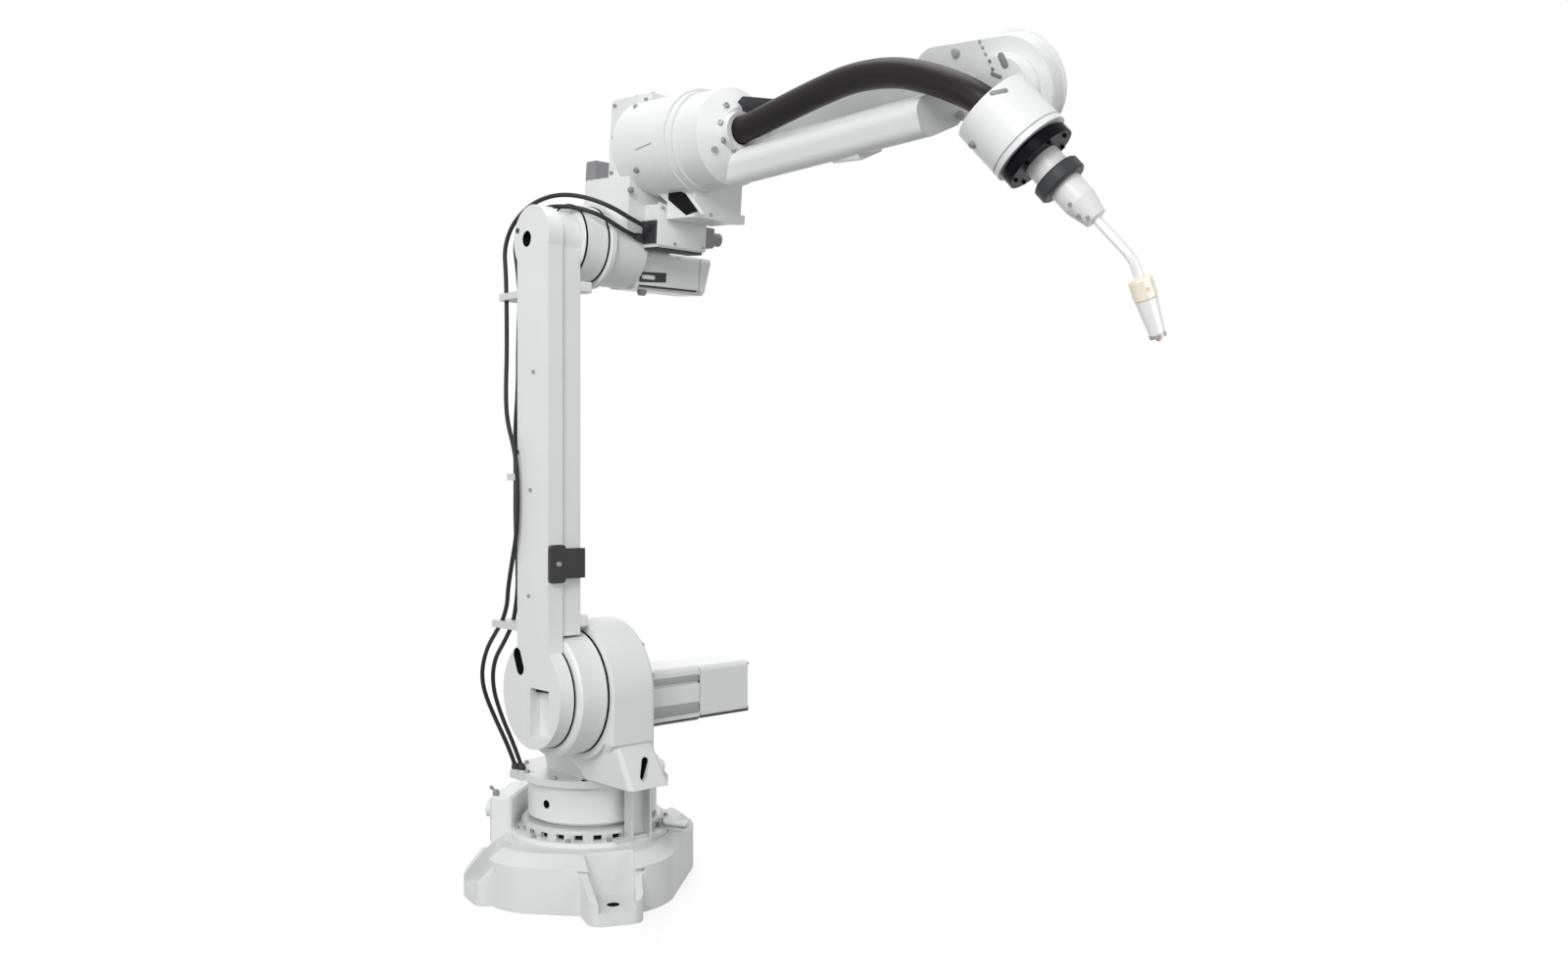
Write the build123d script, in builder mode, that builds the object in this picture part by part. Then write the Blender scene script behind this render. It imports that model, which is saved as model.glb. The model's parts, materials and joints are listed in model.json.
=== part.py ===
from build123d import *
import math
import os

os.makedirs("parts", exist_ok=True)

# Axes of the arm in millimetres: the forearm points to +X and the base stands on Z = 0
axis2_x = 150
axis2_z = 445
lower_arm_length = 900
forearm_rise = 205
forearm_length = 924
forearm_pitch = 5
roll_angle = 25
tilt_angle = 51
base_yaw = 41

# Clearances
seat_gap = 0.5
moving_gap = 6
cable_joint = 1
cable_clearance = 0.5

# Base casting, in its own frame turned by base_yaw
base_depth = 400
base_width = 480
base_corner = 140
base_wall_top = 92
base_shoulder_height = 22
base_shoulder_slope = 53
deck_radius = 172
deck_z = 124
foot_angles = (-66, 66, 141, -141)
foot_reaches = (312, 312, 276, 276)
foot_root_width = 134
foot_tip_width = 104
foot_corner = 26
foot_height = 88
foot_tip_height = 42
foot_pad_height = 26
foot_rib = 15
foot_recess_radius = 200
foot_bolt_inset = 50
foot_bolt_radius = 13
ring_radius = 152
ring_height = 22
ring_chamfer = 4
pocket_count = 24
pocket_width = 18
pocket_depth = 9
pocket_height = 11

# Connector housing and stop bracket on the base
housing_width = 150
housing_back = 208
housing_front = 158
housing_top_z = 190
housing_corner = 10
socket_radius = 17
socket_length = 12
socket_spread = 88
stop_plate = 6
stop_width = 46
stop_fold = 20
stop_top_z = 224
stop_foot_length = 70
stop_lift = 3

# Turret
drum_radius = 138
drum_height = 86
seam_radius = 124
seam_height = 8
plate_radius = 156
plate_height = 15
lug_front_x = 190
lug_width = 120
lug_y = 14
lug_corner = 26
neck_width = 150
neck_length = 250
neck_x = 55
neck_y = -18
neck_corner = 50
housing_radius = 141
housing_rim = 9
web_front_x = 313
web_rear_x = 150
web_front_y = -122
web_back_y = -26
web_lift = 16
web_top_inset = 12
flank_slot_length = 46
flank_slot_width = 17
flank_slot_lean = 19
flank_slot_y = -81
flank_slot_rise = 53
flank_slot_depth = 34
drum_hole_radius = 9
drum_hole_depth = 20
drum_hole_angle = -78
drum_hole_rise = 43
plate_hole_radius = 11
plate_hole_reach = 143
plate_hole_angle = -39
shoulder_back_y = -46
shoulder_front_y = -145
saddle_z = 352
saddle_corner = 10
gear_radius = 125
gear_thickness = 65
gear_chamfer = 5
swing_motor_width = 108
swing_motor_height = 188
swing_motor_x = -66
swing_motor_y = 74
swing_flange = 12

# Shoulder motor
motor_width = 118
motor_end_y = 130
motor_drop = 30
motor_corner = 12
motor_groove = 8
cover_width = 112
cover_length = 140

# Lower arm
arm_outer_y = -245
hub_thickness = 34
arm_thickness = 78
hub_radius = 106
elbow_end_radius = 65
arm_width = 114
arm_lean = 5
box_inset = 6
hub_fillet = 90
lift_hole_radius = 16
lift_hole_depth = 30
slot_length = 56
slot_width = 28
slot_lean = 25
slot_x = 103
slot_z = 507
recess_front_x = 215
recess_back_x = 147
recess_top_z = 460
recess_bottom_z = 364
pad_thickness = 11
pad_height = 74
pad_z = 706
pad_corner = 8
damper_z = 590
damper_length = 24
damper_thickness = 17
stop_block_drop = 94
stop_block_length = 30
stop_block_height = 22
stop_block_thickness = 27

# Elbow, drawn in the frame that leans with the forearm: a along it from axis 3, b up
elbow_ring_radius = 76
elbow_ring_thickness = 56
elbow_drum_radius = 80
elbow_drum_back_y = -20
flange_radius = 88
flange_thickness = 10
neck_half = 78
neck_front_y = -72
neck_back_y = 62
barrel_radius = 97
barrel_rear_a = 45
collar_radius = 101
collar_length = 34
seam_a = 223
lower_box_rear_a = 132
lower_box_low_b = 58
lower_box_front_y = -16
lower_box_back_y = 101
box_lug = 11
box_lug_height = 18
rear_block_a = -88
rear_block_low_b = 87
rear_block_high_b = 142
rear_block_front_y = -68
elbow_motor_half = 52
elbow_motor_height = 80
elbow_motor_end_y = 168
elbow_motor_slant = 16
box_depth = 47
box_front_y = -30
box_back_y = 88
box_low_b = 2
box_high_b = 87
box_slope = 18
upper_rear_a = -52
upper_front_a = 87
upper_front_y = -36
upper_back_y = 100
upper_lift = 8
roll_motor_width = 92
roll_motor_length = 104
roll_motor_y = 92
connector_height = 40
connector_width = 50
plug_length = 56
plug_radius = 14

# Forearm, drawn across the roll axis: x towards the tilt drive, y up, a along it
forearm_radius = 92
roll_flange_radius = 97
roll_flange_length = 18
drum_front_a = 312
cone_front_a = 343
cone_front_radius = 54
beam_rear_a = 300
beam_setback = 126
beam_rear_width = 150
beam_rear_height = 66
beam_rear_x = 22
beam_rear_top = -22
beam_front_height = 66
beam_near_x = -19
beam_front_top = 18
beam_corner = 24
beam_pocket_length = 32
beam_pocket_width = 22
beam_pocket_depth = 12
beam_pocket_inset = 30
beam_pocket_y = -16
pod_inner_x = 72
pod_outer_x = 92
wheel_radius = 80
hump_radius = 56
hump_back = 142
rib_thickness = 10
hump_rise = 28
drive_cover_outer_x = 106
drive_cover_radius = 84
hose_diameter = 50
hose_collar_radius = 36
hose_collar_length = 16
hose_exit_x = -16
hose_exit_y = 12
drive_step = 8
clamp_rise = 13.7
clamp_setback = 346
clamp_x = 11
clamp_length = 66
clamp_width = 60
clamp_drop = 34

# Wrist and torch, measured along the tool axis from the wrist centre
cup_radius = 66
cup_rear = 18
cup_front = 112
cup_bore_radius = 42
cup_bore_depth = 80
cup_groove = 3
side_hub_radius = 55
disc_radius = 61
disc_thickness = 22
disc_step = 5
mount_radius = 30
mount_length = 31
clamp_ring_radius = 41
clamp_ring_thickness = 24
body_radius = 27
body_tip_radius = 18
body_length = 72
neck_radius = 8
neck_bend = 30
neck_straight = 83
neck_bend_radius = 60
neck_length_after = 32
insulator_radius = 19
insulator_length = 34
nozzle_radius = 18
nozzle_tip_radius = 12
nozzle_length = 62
tip_radius = 4
tip_length = 6

# Cables
cable_diameter = 9
clamp_thickness = 14
clamp_margin = 13
clamp_corner = 3

# Points and planes worked out from the sizes above
axis3_z = axis2_z + lower_arm_length
stop_block_z = axis3_z - stop_block_drop
motor_z = axis2_z - motor_drop
upper_top_b = forearm_rise + barrel_radius + upper_lift
beam_front_a = forearm_length - beam_setback
beam_front_x = (beam_near_x + pod_outer_x) / 2
beam_front_width = pod_outer_x - beam_near_x
arm_inner_y = arm_outer_y + arm_thickness
hub_inner_y = arm_outer_y + hub_thickness
arm_rear_x = axis2_x + arm_lean - arm_width / 2
arm_front_x = axis2_x + arm_lean + arm_width / 2
turret_z = deck_z + ring_height + seat_gap
plate_z = turret_z + drum_height
plate_top_z = plate_z + plate_height
elbow_ring_back_y = arm_inner_y + seat_gap + elbow_ring_thickness

forearm_dir = Vector(
    math.cos(math.radians(forearm_pitch)), 0, -math.sin(math.radians(forearm_pitch))
)
forearm_up = Vector(
    math.sin(math.radians(forearm_pitch)), 0, math.cos(math.radians(forearm_pitch))
)
axis3_point = Vector(axis2_x, 0, axis3_z)
roll_origin = axis3_point + forearm_up * forearm_rise
wrist_point = roll_origin + forearm_dir * forearm_length
tilt_axis = (
    Vector(0, 1, 0) * math.cos(math.radians(roll_angle))
    + forearm_up * math.sin(math.radians(roll_angle))
)
wrist_plane = Plane(origin=wrist_point, x_dir=forearm_dir, z_dir=tilt_axis)
tool_axis = forearm_dir * math.cos(math.radians(tilt_angle)) + wrist_plane.y_dir * math.sin(
    math.radians(tilt_angle)
)
tool_plane = Plane(origin=wrist_point, x_dir=tilt_axis, z_dir=tool_axis)
base_plane = Plane.XY.rotated((0, 0, base_yaw))


def side_plane(y):
    """Sketch plane across the upright arm at y. Local axes are X and Z, extruding goes to -Y."""
    return Plane.XZ.offset(-y)


def elbow_side(y):
    """Side view of the elbow at y. Local x runs along the forearm, local y up, extruding to -Y."""
    return Plane(origin=axis3_point + Vector(0, y, 0), x_dir=forearm_dir, z_dir=(0, -1, 0))


def elbow_section(a):
    """Section across the elbow at a. Local x is +Y and local y up, measured from axis 3."""
    return Plane(origin=axis3_point + forearm_dir * a, x_dir=(0, 1, 0), z_dir=forearm_dir)


def forearm_section(a):
    """Section across the rolling forearm at a, about its own axis."""
    return Plane(origin=roll_origin + forearm_dir * a, x_dir=tilt_axis, z_dir=forearm_dir)


def cord_radii(points):
    """Corner radii of a cable: 0.45 of the shorter run over the tangent of half the turn."""
    corners = [Vector(*point) for point in points]
    radii = []
    for before, here, after in zip(corners, corners[1:], corners[2:]):
        first = here - before
        second = after - here
        half_turn = math.radians(first.get_angle(second)) / 2
        radii.append(0.45 * min(first.length, second.length) / math.tan(half_turn))
    return radii


def cable(points, diameter):
    """Round tube along straight runs joined by tangent arcs."""
    with BuildPart() as tube:
        with BuildLine() as route:
            FilletPolyline(*points, radius=cord_radii(points))
        with BuildSketch(Plane(origin=route.line @ 0, z_dir=route.line % 0)):
            Circle(diameter / 2)
        sweep(path=route.line)
    return tube.part


def cables(routes, diameter):
    """Several separate tubes in one piece."""
    tubes = [cable(points, diameter) for points in routes]
    return Compound(children=tubes)


def write(piece, name):
    """Label a finished piece and write it under its node name."""
    piece.label = name
    export_step(piece, f"parts/{name}.step")


def up_the_arm(*points):
    """Route points whose heights are shares of the lower arm's length above its axis."""
    return tuple((x, y, axis2_z + share * lower_arm_length) for x, y, share in points)


def over_the_elbow(*points):
    """Route points whose heights are measured from the elbow axis."""
    return tuple((x, y, axis3_z + rise) for x, y, rise in points)


# Cable routes, from the gland on the turret up the arm and over the elbow
face_route = up_the_arm(
    (1, -225, 0.1422),
    (32, -230, 0.1789),
    (62, -245, 0.2278),
    (90, -253, 0.2833),
    (112, -254, 0.3556),
    (116, -254, 0.4489),
    (106, -254, 0.5322),
    (70, -252, 0.6011),
    (44, -240, 0.6689),
    (36, -232, 0.7667),
    (30, -230, 0.8834),
)
edge_route = up_the_arm(
    (17, -207, 0.1422),
    (38, -209, 0.2),
    (44, -212, 0.2722),
    (38, -214, 0.3722),
    (41, -215, 0.4767),
    (35, -213, 0.5833),
    (42, -210, 0.6833),
    (38, -208, 0.7833),
    (44, -207, 0.8834),
)
shoulder_end_z = face_route[0][2] - cable_joint
left_shoulder_route = (
    (-62, -153, 252),
    (-68, -165, 293),
    (-93, -184, 355),
    (-107, -205, 417),
    (-104, -212, 462),
    (-75, -217, 510),
    (-34, -222, 545),
    (0, -225, shoulder_end_z),
)
right_shoulder_route = (
    (-44, -148, 252),
    (-55, -160, 300),
    (-80, -179, 366),
    (-87, -196, 430),
    (-63, -206, 488),
    (-14, -207, 535),
    (16, -207, shoulder_end_z),
)
elbow_start = face_route[-1][2] + cable_joint - axis3_z
outer_elbow_route = over_the_elbow(
    (30, -230, elbow_start),
    (26, -229, -53),
    (14, -226, -5),
    (30, -220, 40),
    (68, -212, 70),
    (110, -204, 85),
    (155, -192, 91),
    (196, -174, 87),
    (232, -150, 75),
    (258, -118, 57),
    (264, -84, 40),
    (258, -50, 33),
)
inner_elbow_route = over_the_elbow(
    (44, -207, elbow_start),
    (40, -210, -45),
    (32, -213, 5),
    (52, -210, 43),
    (90, -204, 62),
    (130, -198, 69),
    (172, -186, 67),
    (210, -166, 59),
    (236, -138, 45),
    (244, -104, 27),
    (240, -74, 17),
    (236, -46, 13),
)
hose_route = (
    (512, -20, 1523),
    (552, -20, 1526),
    (634, -20, 1537),
    (734, -20, 1550),
    (825, -21, 1557),
    (922, -19, 1545),
    (1005, -13, 1513),
    (1070, -5, 1478),
    (1102, 8, 1450),
    (1123, 20, 1422),
)

cable_paths = (
    left_shoulder_route,
    right_shoulder_route,
    face_route,
    edge_route,
    outer_elbow_route,
    inner_elbow_route,
)
cable_channels = cables(cable_paths, cable_diameter + 2 * cable_clearance)

# Base casting: a rounded drum with a sloped shoulder and four ribbed feet
with BuildPart() as base_casting:
    with BuildSketch(base_plane):
        RectangleRounded(base_depth, base_width, base_corner)
    extrude(amount=base_wall_top)
    with BuildSketch(base_plane.offset(base_wall_top)):
        RectangleRounded(base_depth, base_width, base_corner)
    extrude(amount=base_shoulder_height, taper=base_shoulder_slope)
    with BuildSketch(Plane.XY.offset(base_wall_top)):
        Circle(deck_radius)
    extrude(amount=deck_z - base_wall_top)
    for angle, reach in zip(foot_angles, foot_reaches):
        foot = base_plane.rotated((0, 0, angle))
        with BuildSketch(foot) as foot_outline:
            with BuildLine():
                Polyline(
                    (0, -foot_root_width / 2),
                    (foot_recess_radius, -foot_root_width / 2),
                    (reach, -foot_tip_width / 2),
                    (reach, foot_tip_width / 2),
                    (foot_recess_radius, foot_root_width / 2),
                    (0, foot_root_width / 2),
                    close=True,
                )
            make_face()
            fillet(foot_outline.vertices().sort_by_distance(foot.origin)[-2:], foot_corner)
        extrude(amount=foot_height)
        # The top of the ribs falls towards the tip
        rib_view = Plane(origin=foot.origin, x_dir=foot.x_dir, z_dir=-foot.y_dir)
        with BuildSketch(rib_view.offset(-foot_root_width / 2)):
            with BuildLine():
                Polyline(
                    (foot_recess_radius + foot_corner, foot_height),
                    (reach, foot_tip_height),
                    (reach, foot_height),
                    close=True,
                )
            make_face()
        extrude(amount=foot_root_width, mode=Mode.SUBTRACT)
        # Open recess over the pad, between the ribs
        with BuildSketch(foot.offset(foot_pad_height)):
            with BuildLine():
                Polyline(
                    (foot_recess_radius, foot_rib - foot_root_width / 2),
                    (reach, foot_rib - foot_tip_width / 2),
                    (reach, foot_tip_width / 2 - foot_rib),
                    (foot_recess_radius, foot_root_width / 2 - foot_rib),
                    close=True,
                )
            make_face()
        extrude(amount=deck_z, mode=Mode.SUBTRACT)
        with Locations(foot.offset(foot_pad_height)):
            with Locations((reach - foot_bolt_inset, 0)):
                Hole(foot_bolt_radius, depth=foot_pad_height)
write(base_casting.part, "base_casting")

# Bolted ring under the turret, with a row of pockets over its screws
with BuildPart() as base_ring:
    with BuildSketch(Plane.XY.offset(deck_z)):
        Circle(ring_radius)
    extrude(amount=ring_height)
    chamfer(base_ring.edges().group_by(Axis.Z)[-1], ring_chamfer)
    with BuildSketch(Plane.XY.offset(deck_z)):
        with PolarLocations(ring_radius, pocket_count):
            RectangleRounded(2 * pocket_depth, pocket_width, ring_chamfer)
    extrude(amount=pocket_height, mode=Mode.SUBTRACT)
write(base_ring.part, "base_ring")

# Connector housing at the back of the base, with two round sockets
with BuildPart() as connector_housing:
    with BuildSketch(base_plane.offset(base_wall_top)):
        with Locations((-(housing_back + housing_front) / 2, 0)):
            RectangleRounded(housing_back - housing_front, housing_width, housing_corner)
    extrude(amount=housing_top_z - base_wall_top)
    chamfer(connector_housing.edges().group_by(Axis.Z)[-1], housing_corner / 2)
    back_face = Plane(
        origin=base_plane.x_dir * -housing_back + Vector(0, 0, (deck_z + housing_top_z) / 2),
        x_dir=base_plane.y_dir,
        z_dir=-base_plane.x_dir,
    )
    with BuildSketch(back_face):
        with GridLocations(socket_spread, socket_spread, 2, 1):
            Circle(socket_radius)
    extrude(amount=socket_length)
    add(base_casting.part, mode=Mode.SUBTRACT)
write(connector_housing.part, "connector_housing")

# Folded stop bracket at the front of the base, standing clear of the drum
stop_x = ring_radius + stop_plate / 2
with BuildPart() as stop_bracket:
    with BuildSketch(Plane.XY.offset(deck_z)):
        with Locations((stop_x + stop_lift, 0)):
            Rectangle(stop_plate, stop_width)
            with Locations((stop_fold / 2, -stop_width / 2), (stop_fold / 2, stop_width / 2)):
                Rectangle(stop_fold + stop_plate, stop_plate)
    extrude(amount=stop_top_z - deck_z)
    with BuildSketch(Plane.XY.offset(deck_z)):
        with Locations((stop_x + stop_lift + stop_plate, 0)):
            Rectangle(stop_plate * 3, stop_width + stop_foot_length)
    extrude(amount=stop_plate)
write(stop_bracket.part, "stop_bracket")

# Turret casting: drum, plate with a lug, leaning neck and the round shoulder housing
shoulder_middle_y = (shoulder_back_y + shoulder_front_y) / 2
shoulder_depth = shoulder_back_y - shoulder_front_y
with BuildPart() as turret_casting:
    with BuildSketch(Plane.XY.offset(turret_z)):
        Circle(seam_radius)
    extrude(amount=seam_height)
    with BuildSketch(Plane.XY.offset(turret_z + seam_height)):
        Circle(drum_radius)
    extrude(amount=drum_height - seam_height)
    with BuildSketch(Plane.XY.offset(plate_z)):
        Circle(plate_radius)
        with Locations((lug_front_x / 2, lug_y)):
            RectangleRounded(lug_front_x, lug_width, lug_corner)
    extrude(amount=plate_height)
    with BuildSketch(Plane.XY.offset(plate_top_z)):
        with Locations((neck_x, neck_y)):
            RectangleRounded(neck_length, neck_width, neck_corner)
    with BuildSketch(Plane.XY.offset(saddle_z)):
        with Locations((axis2_x, shoulder_middle_y)):
            RectangleRounded(2 * housing_radius, shoulder_depth, saddle_corner)
    loft()
    with BuildSketch(side_plane(shoulder_back_y)):
        with Locations((axis2_x, axis2_z)):
            Circle(housing_radius)
        with Locations((axis2_x, (saddle_z + axis2_z) / 2)):
            Rectangle(2 * housing_radius, axis2_z - saddle_z)
    extrude(amount=shoulder_depth)
    fillet(
        turret_casting.edges().filter_by(GeomType.CIRCLE).group_by(SortBy.RADIUS)[-2].group_by(Axis.Y)[-1],
        housing_rim,
    )
    # Web that flares from the housing down to the plate's front
    with BuildSketch(Plane.XY.offset(plate_top_z + web_lift)):
        with Locations(((web_front_x + web_rear_x) / 2, (web_front_y + web_back_y) / 2)):
            RectangleRounded(web_front_x - web_rear_x, web_back_y - web_front_y, saddle_corner)
    with BuildSketch(Plane.XY.offset(motor_z - motor_width / 2)):
        with Locations((axis2_x, shoulder_middle_y)):
            RectangleRounded(
                2 * housing_radius - web_top_inset, shoulder_depth - web_top_inset, saddle_corner
            )
    loft()
    # Leaning slot in the front flank, a blind hole in the drum and one in the plate
    with BuildSketch(Plane.YZ.offset(web_front_x)):
        with Locations((flank_slot_y, plate_top_z + flank_slot_rise)):
            SlotOverall(flank_slot_length, flank_slot_width, rotation=90 - flank_slot_lean)
    extrude(amount=-flank_slot_depth, mode=Mode.SUBTRACT)
    hole_way = Plane.XY.rotated((0, 0, drum_hole_angle)).x_dir
    hole_mouth = hole_way * drum_radius + Vector(0, 0, turret_z + drum_hole_rise)
    with BuildSketch(Plane(origin=hole_mouth, z_dir=hole_way)):
        Circle(drum_hole_radius)
    extrude(amount=-drum_hole_depth, mode=Mode.SUBTRACT)
    with BuildSketch(Plane.XY.offset(plate_top_z)):
        with PolarLocations(plate_hole_reach, 1, start_angle=plate_hole_angle):
            Circle(plate_hole_radius)
    extrude(amount=-plate_height, mode=Mode.SUBTRACT)
write(turret_casting.part, "turret_casting")

# Gear ring between the turret and the lower arm
with BuildPart() as shoulder_gear_ring:
    with BuildSketch(side_plane(shoulder_front_y)):
        with Locations((axis2_x, axis2_z)):
            Circle(gear_radius)
    extrude(amount=gear_thickness)
    chamfer(shoulder_gear_ring.edges().group_by(Axis.Y)[0], gear_chamfer)
write(shoulder_gear_ring.part, "shoulder_gear_ring")

# Shoulder motor with a groove along each side, and its end cover
with BuildPart() as shoulder_motor:
    with BuildSketch(side_plane(motor_end_y)):
        with Locations((axis2_x, motor_z)):
            RectangleRounded(motor_width, motor_width, motor_corner)
            with GridLocations(motor_width, motor_width / 2, 2, 2):
                Rectangle(motor_groove, 2 * motor_groove, mode=Mode.SUBTRACT)
    extrude(amount=motor_end_y - shoulder_back_y)
write(shoulder_motor.part, "shoulder_motor")
with BuildPart() as shoulder_motor_cover:
    with BuildSketch(side_plane(motor_end_y + cover_length)):
        with Locations((axis2_x, motor_z)):
            RectangleRounded(cover_width, cover_width, motor_corner)
    extrude(amount=cover_length)
    chamfer(shoulder_motor_cover.edges().group_by(Axis.Y)[-1], motor_corner / 3)
write(shoulder_motor_cover.part, "shoulder_motor_cover")

# Upright motor behind the shoulder that turns the turret
with BuildPart() as swing_motor:
    with BuildSketch(Plane.XY.offset(plate_top_z)):
        with Locations((swing_motor_x, swing_motor_y)):
            RectangleRounded(swing_motor_width, swing_motor_width, motor_corner)
    extrude(amount=swing_motor_height)
    chamfer(swing_motor.edges().group_by(Axis.Z)[-1], motor_corner / 3)
    with BuildSketch(Plane.XY.offset(plate_top_z)):
        with Locations((swing_motor_x, swing_motor_y)):
            Circle(swing_motor_width / 2 + swing_flange)
    extrude(amount=swing_flange)
    add(turret_casting.part, mode=Mode.SUBTRACT)
write(swing_motor.part, "swing_motor")

# Gland block at the side of the turret, where the cables leave
gland_x = -53
gland_y = -144
gland_length = 52
gland_width = 34
gland_height = 16
with BuildPart() as cable_gland:
    with BuildSketch(Plane.XY.offset(plate_z)):
        with Locations((gland_x, gland_y)):
            RectangleRounded(gland_length, gland_width, ring_chamfer)
    extrude(amount=gland_height)
    with BuildSketch(Plane.XY.offset(plate_z + gland_height)):
        for route in (left_shoulder_route, right_shoulder_route):
            with Locations(route[0][:2]):
                Circle(cable_diameter)
    extrude(amount=left_shoulder_route[0][2] - plate_z - gland_height)
    add(turret_casting.part, mode=Mode.SUBTRACT)
    add(cable_channels, mode=Mode.SUBTRACT)
write(cable_gland.part, "cable_gland")

# Lower arm: outer plate with the hub, and the inner box above the gear ring
with BuildPart() as lower_arm_casting:
    with BuildSketch(side_plane(hub_inner_y)) as arm_outline:
        with Locations((axis2_x, axis2_z)):
            Circle(hub_radius)
        with Locations((axis2_x, axis3_z)):
            Circle(elbow_end_radius)
        with Locations((axis2_x + arm_lean, axis2_z + lower_arm_length / 2)):
            Rectangle(arm_width, lower_arm_length)
        crotches = arm_outline.vertices().filter_by_position(
            Axis.Z, axis2_z + gear_chamfer, axis2_z + hub_radius
        )
        fillet(crotches, hub_fillet)
    extrude(amount=hub_thickness)
    with BuildSketch(side_plane(arm_inner_y)):
        with Locations((axis2_x, axis3_z)):
            Circle(elbow_end_radius - box_inset)
        with Locations((axis2_x + arm_lean, axis2_z + lower_arm_length / 2)):
            Rectangle(arm_width - 2 * box_inset, lower_arm_length)
        with Locations((axis2_x, axis2_z)):
            Circle(gear_radius + moving_gap, mode=Mode.SUBTRACT)
    extrude(amount=arm_thickness - hub_thickness)
    # Round lifting hole at the elbow and a leaning oval hole above the hub
    with BuildSketch(side_plane(arm_outer_y)):
        with Locations((axis2_x - elbow_end_radius / 4, axis3_z)):
            Circle(lift_hole_radius)
        with Locations((slot_x, slot_z)):
            SlotOverall(slot_length, slot_width, rotation=90 + slot_lean)
    extrude(amount=-lift_hole_depth, mode=Mode.SUBTRACT)
    # Recess in the hub with a rounded lower edge
    recess_middle_z = (recess_top_z + recess_bottom_z) / 2
    with BuildSketch(side_plane(arm_outer_y)):
        with Locations((axis2_x, axis2_z)):
            Circle(hub_radius - box_inset)
        with Locations(((recess_back_x + recess_front_x) / 2, recess_middle_z)):
            Rectangle(
                recess_front_x - recess_back_x,
                recess_top_z - recess_bottom_z,
                mode=Mode.INTERSECT,
            )
    extrude(amount=-(hub_thickness - motor_corner), mode=Mode.SUBTRACT)
write(lower_arm_casting.part, "lower_arm_casting")

# Rubber pad on the front of the lower arm
with BuildPart() as impact_pad:
    with BuildSketch(Plane.YZ.offset(arm_front_x)):
        with Locations((arm_outer_y + hub_thickness / 2, pad_z)):
            RectangleRounded(hub_thickness, pad_height, pad_corner)
    extrude(amount=pad_thickness)
    with BuildSketch(Plane.YZ.offset(arm_front_x - box_inset)):
        with Locations(((hub_inner_y + arm_inner_y) / 2, pad_z)):
            Rectangle(arm_thickness - hub_thickness, pad_height - 2 * pad_corner)
    extrude(amount=pad_thickness + box_inset)
write(impact_pad.part, "impact_pad")

# Small stop blocks on the inner side of the lower arm
with BuildPart() as damper_block:
    with BuildSketch(side_plane(arm_inner_y + damper_thickness)):
        with Locations((arm_front_x - box_inset - damper_length / 2, damper_z)):
            RectangleRounded(damper_length, damper_length, ring_chamfer)
    extrude(amount=damper_thickness)
write(damper_block.part, "damper_block")
with BuildPart() as elbow_stop_block:
    with BuildSketch(side_plane(arm_inner_y + stop_block_thickness)):
        with Locations((arm_front_x - box_inset - stop_block_length / 2, stop_block_z)):
            RectangleRounded(stop_block_length, stop_block_height, ring_chamfer)
    extrude(amount=stop_block_thickness)
write(elbow_stop_block.part, "elbow_stop_block")

# Cables on the arm, and the clamps that hold them to its rear edge
arm_cables = cables((face_route, edge_route), cable_diameter)
write(arm_cables, "arm_cables")
shoulder_cables = cables((left_shoulder_route, right_shoulder_route), cable_diameter)
write(shoulder_cables, "shoulder_cables")
elbow_cables = cables((outer_elbow_route, inner_elbow_route), cable_diameter)
write(elbow_cables, "elbow_cables")


def cable_clamp(name, rear_x, z, front_y, back_y):
    """Clamp block from the arm's rear edge out over the cables."""
    with BuildPart() as clamp:
        with BuildSketch(Plane.XY.offset(z - clamp_thickness / 2)):
            with Locations(((rear_x + arm_rear_x) / 2, (front_y + back_y) / 2)):
                RectangleRounded(arm_rear_x - rear_x, back_y - front_y, clamp_corner)
        extrude(amount=clamp_thickness)
        add(cable_channels, mode=Mode.SUBTRACT)
        add(lower_arm_casting.part, mode=Mode.SUBTRACT)
    write(clamp.part, name)


clamp_front_y = arm_outer_y + cable_diameter / 2
clamp_middle_y = hub_inner_y - 2 * cable_diameter
clamp_back_y = hub_inner_y + 2 * cable_diameter
lower_clamp_x, lower_clamp_z = face_route[0][0] - clamp_margin, face_route[0][2]
edge_middle = edge_route[len(edge_route) // 2]
middle_clamp_x, middle_clamp_z = edge_middle[0] - clamp_margin, edge_middle[2]
upper_clamp_x, upper_clamp_z = face_route[-1][0] - clamp_margin, face_route[-1][2]
cable_clamp("lower_cable_clamp", lower_clamp_x, lower_clamp_z, clamp_front_y, clamp_back_y)
cable_clamp("middle_cable_clamp", middle_clamp_x, middle_clamp_z, clamp_middle_y, clamp_back_y)
cable_clamp("upper_cable_clamp", upper_clamp_x, upper_clamp_z, clamp_front_y, clamp_back_y)

# Elbow ring between the lower arm and the elbow housing
with BuildPart() as elbow_gear_ring:
    with BuildSketch(side_plane(elbow_ring_back_y)):
        with Locations((axis2_x, axis3_z)):
            Circle(elbow_ring_radius)
    extrude(amount=elbow_ring_thickness)
    chamfer(elbow_gear_ring.edges().group_by(Axis.Y)[0], gear_chamfer)
write(elbow_gear_ring.part, "elbow_gear_ring")

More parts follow.
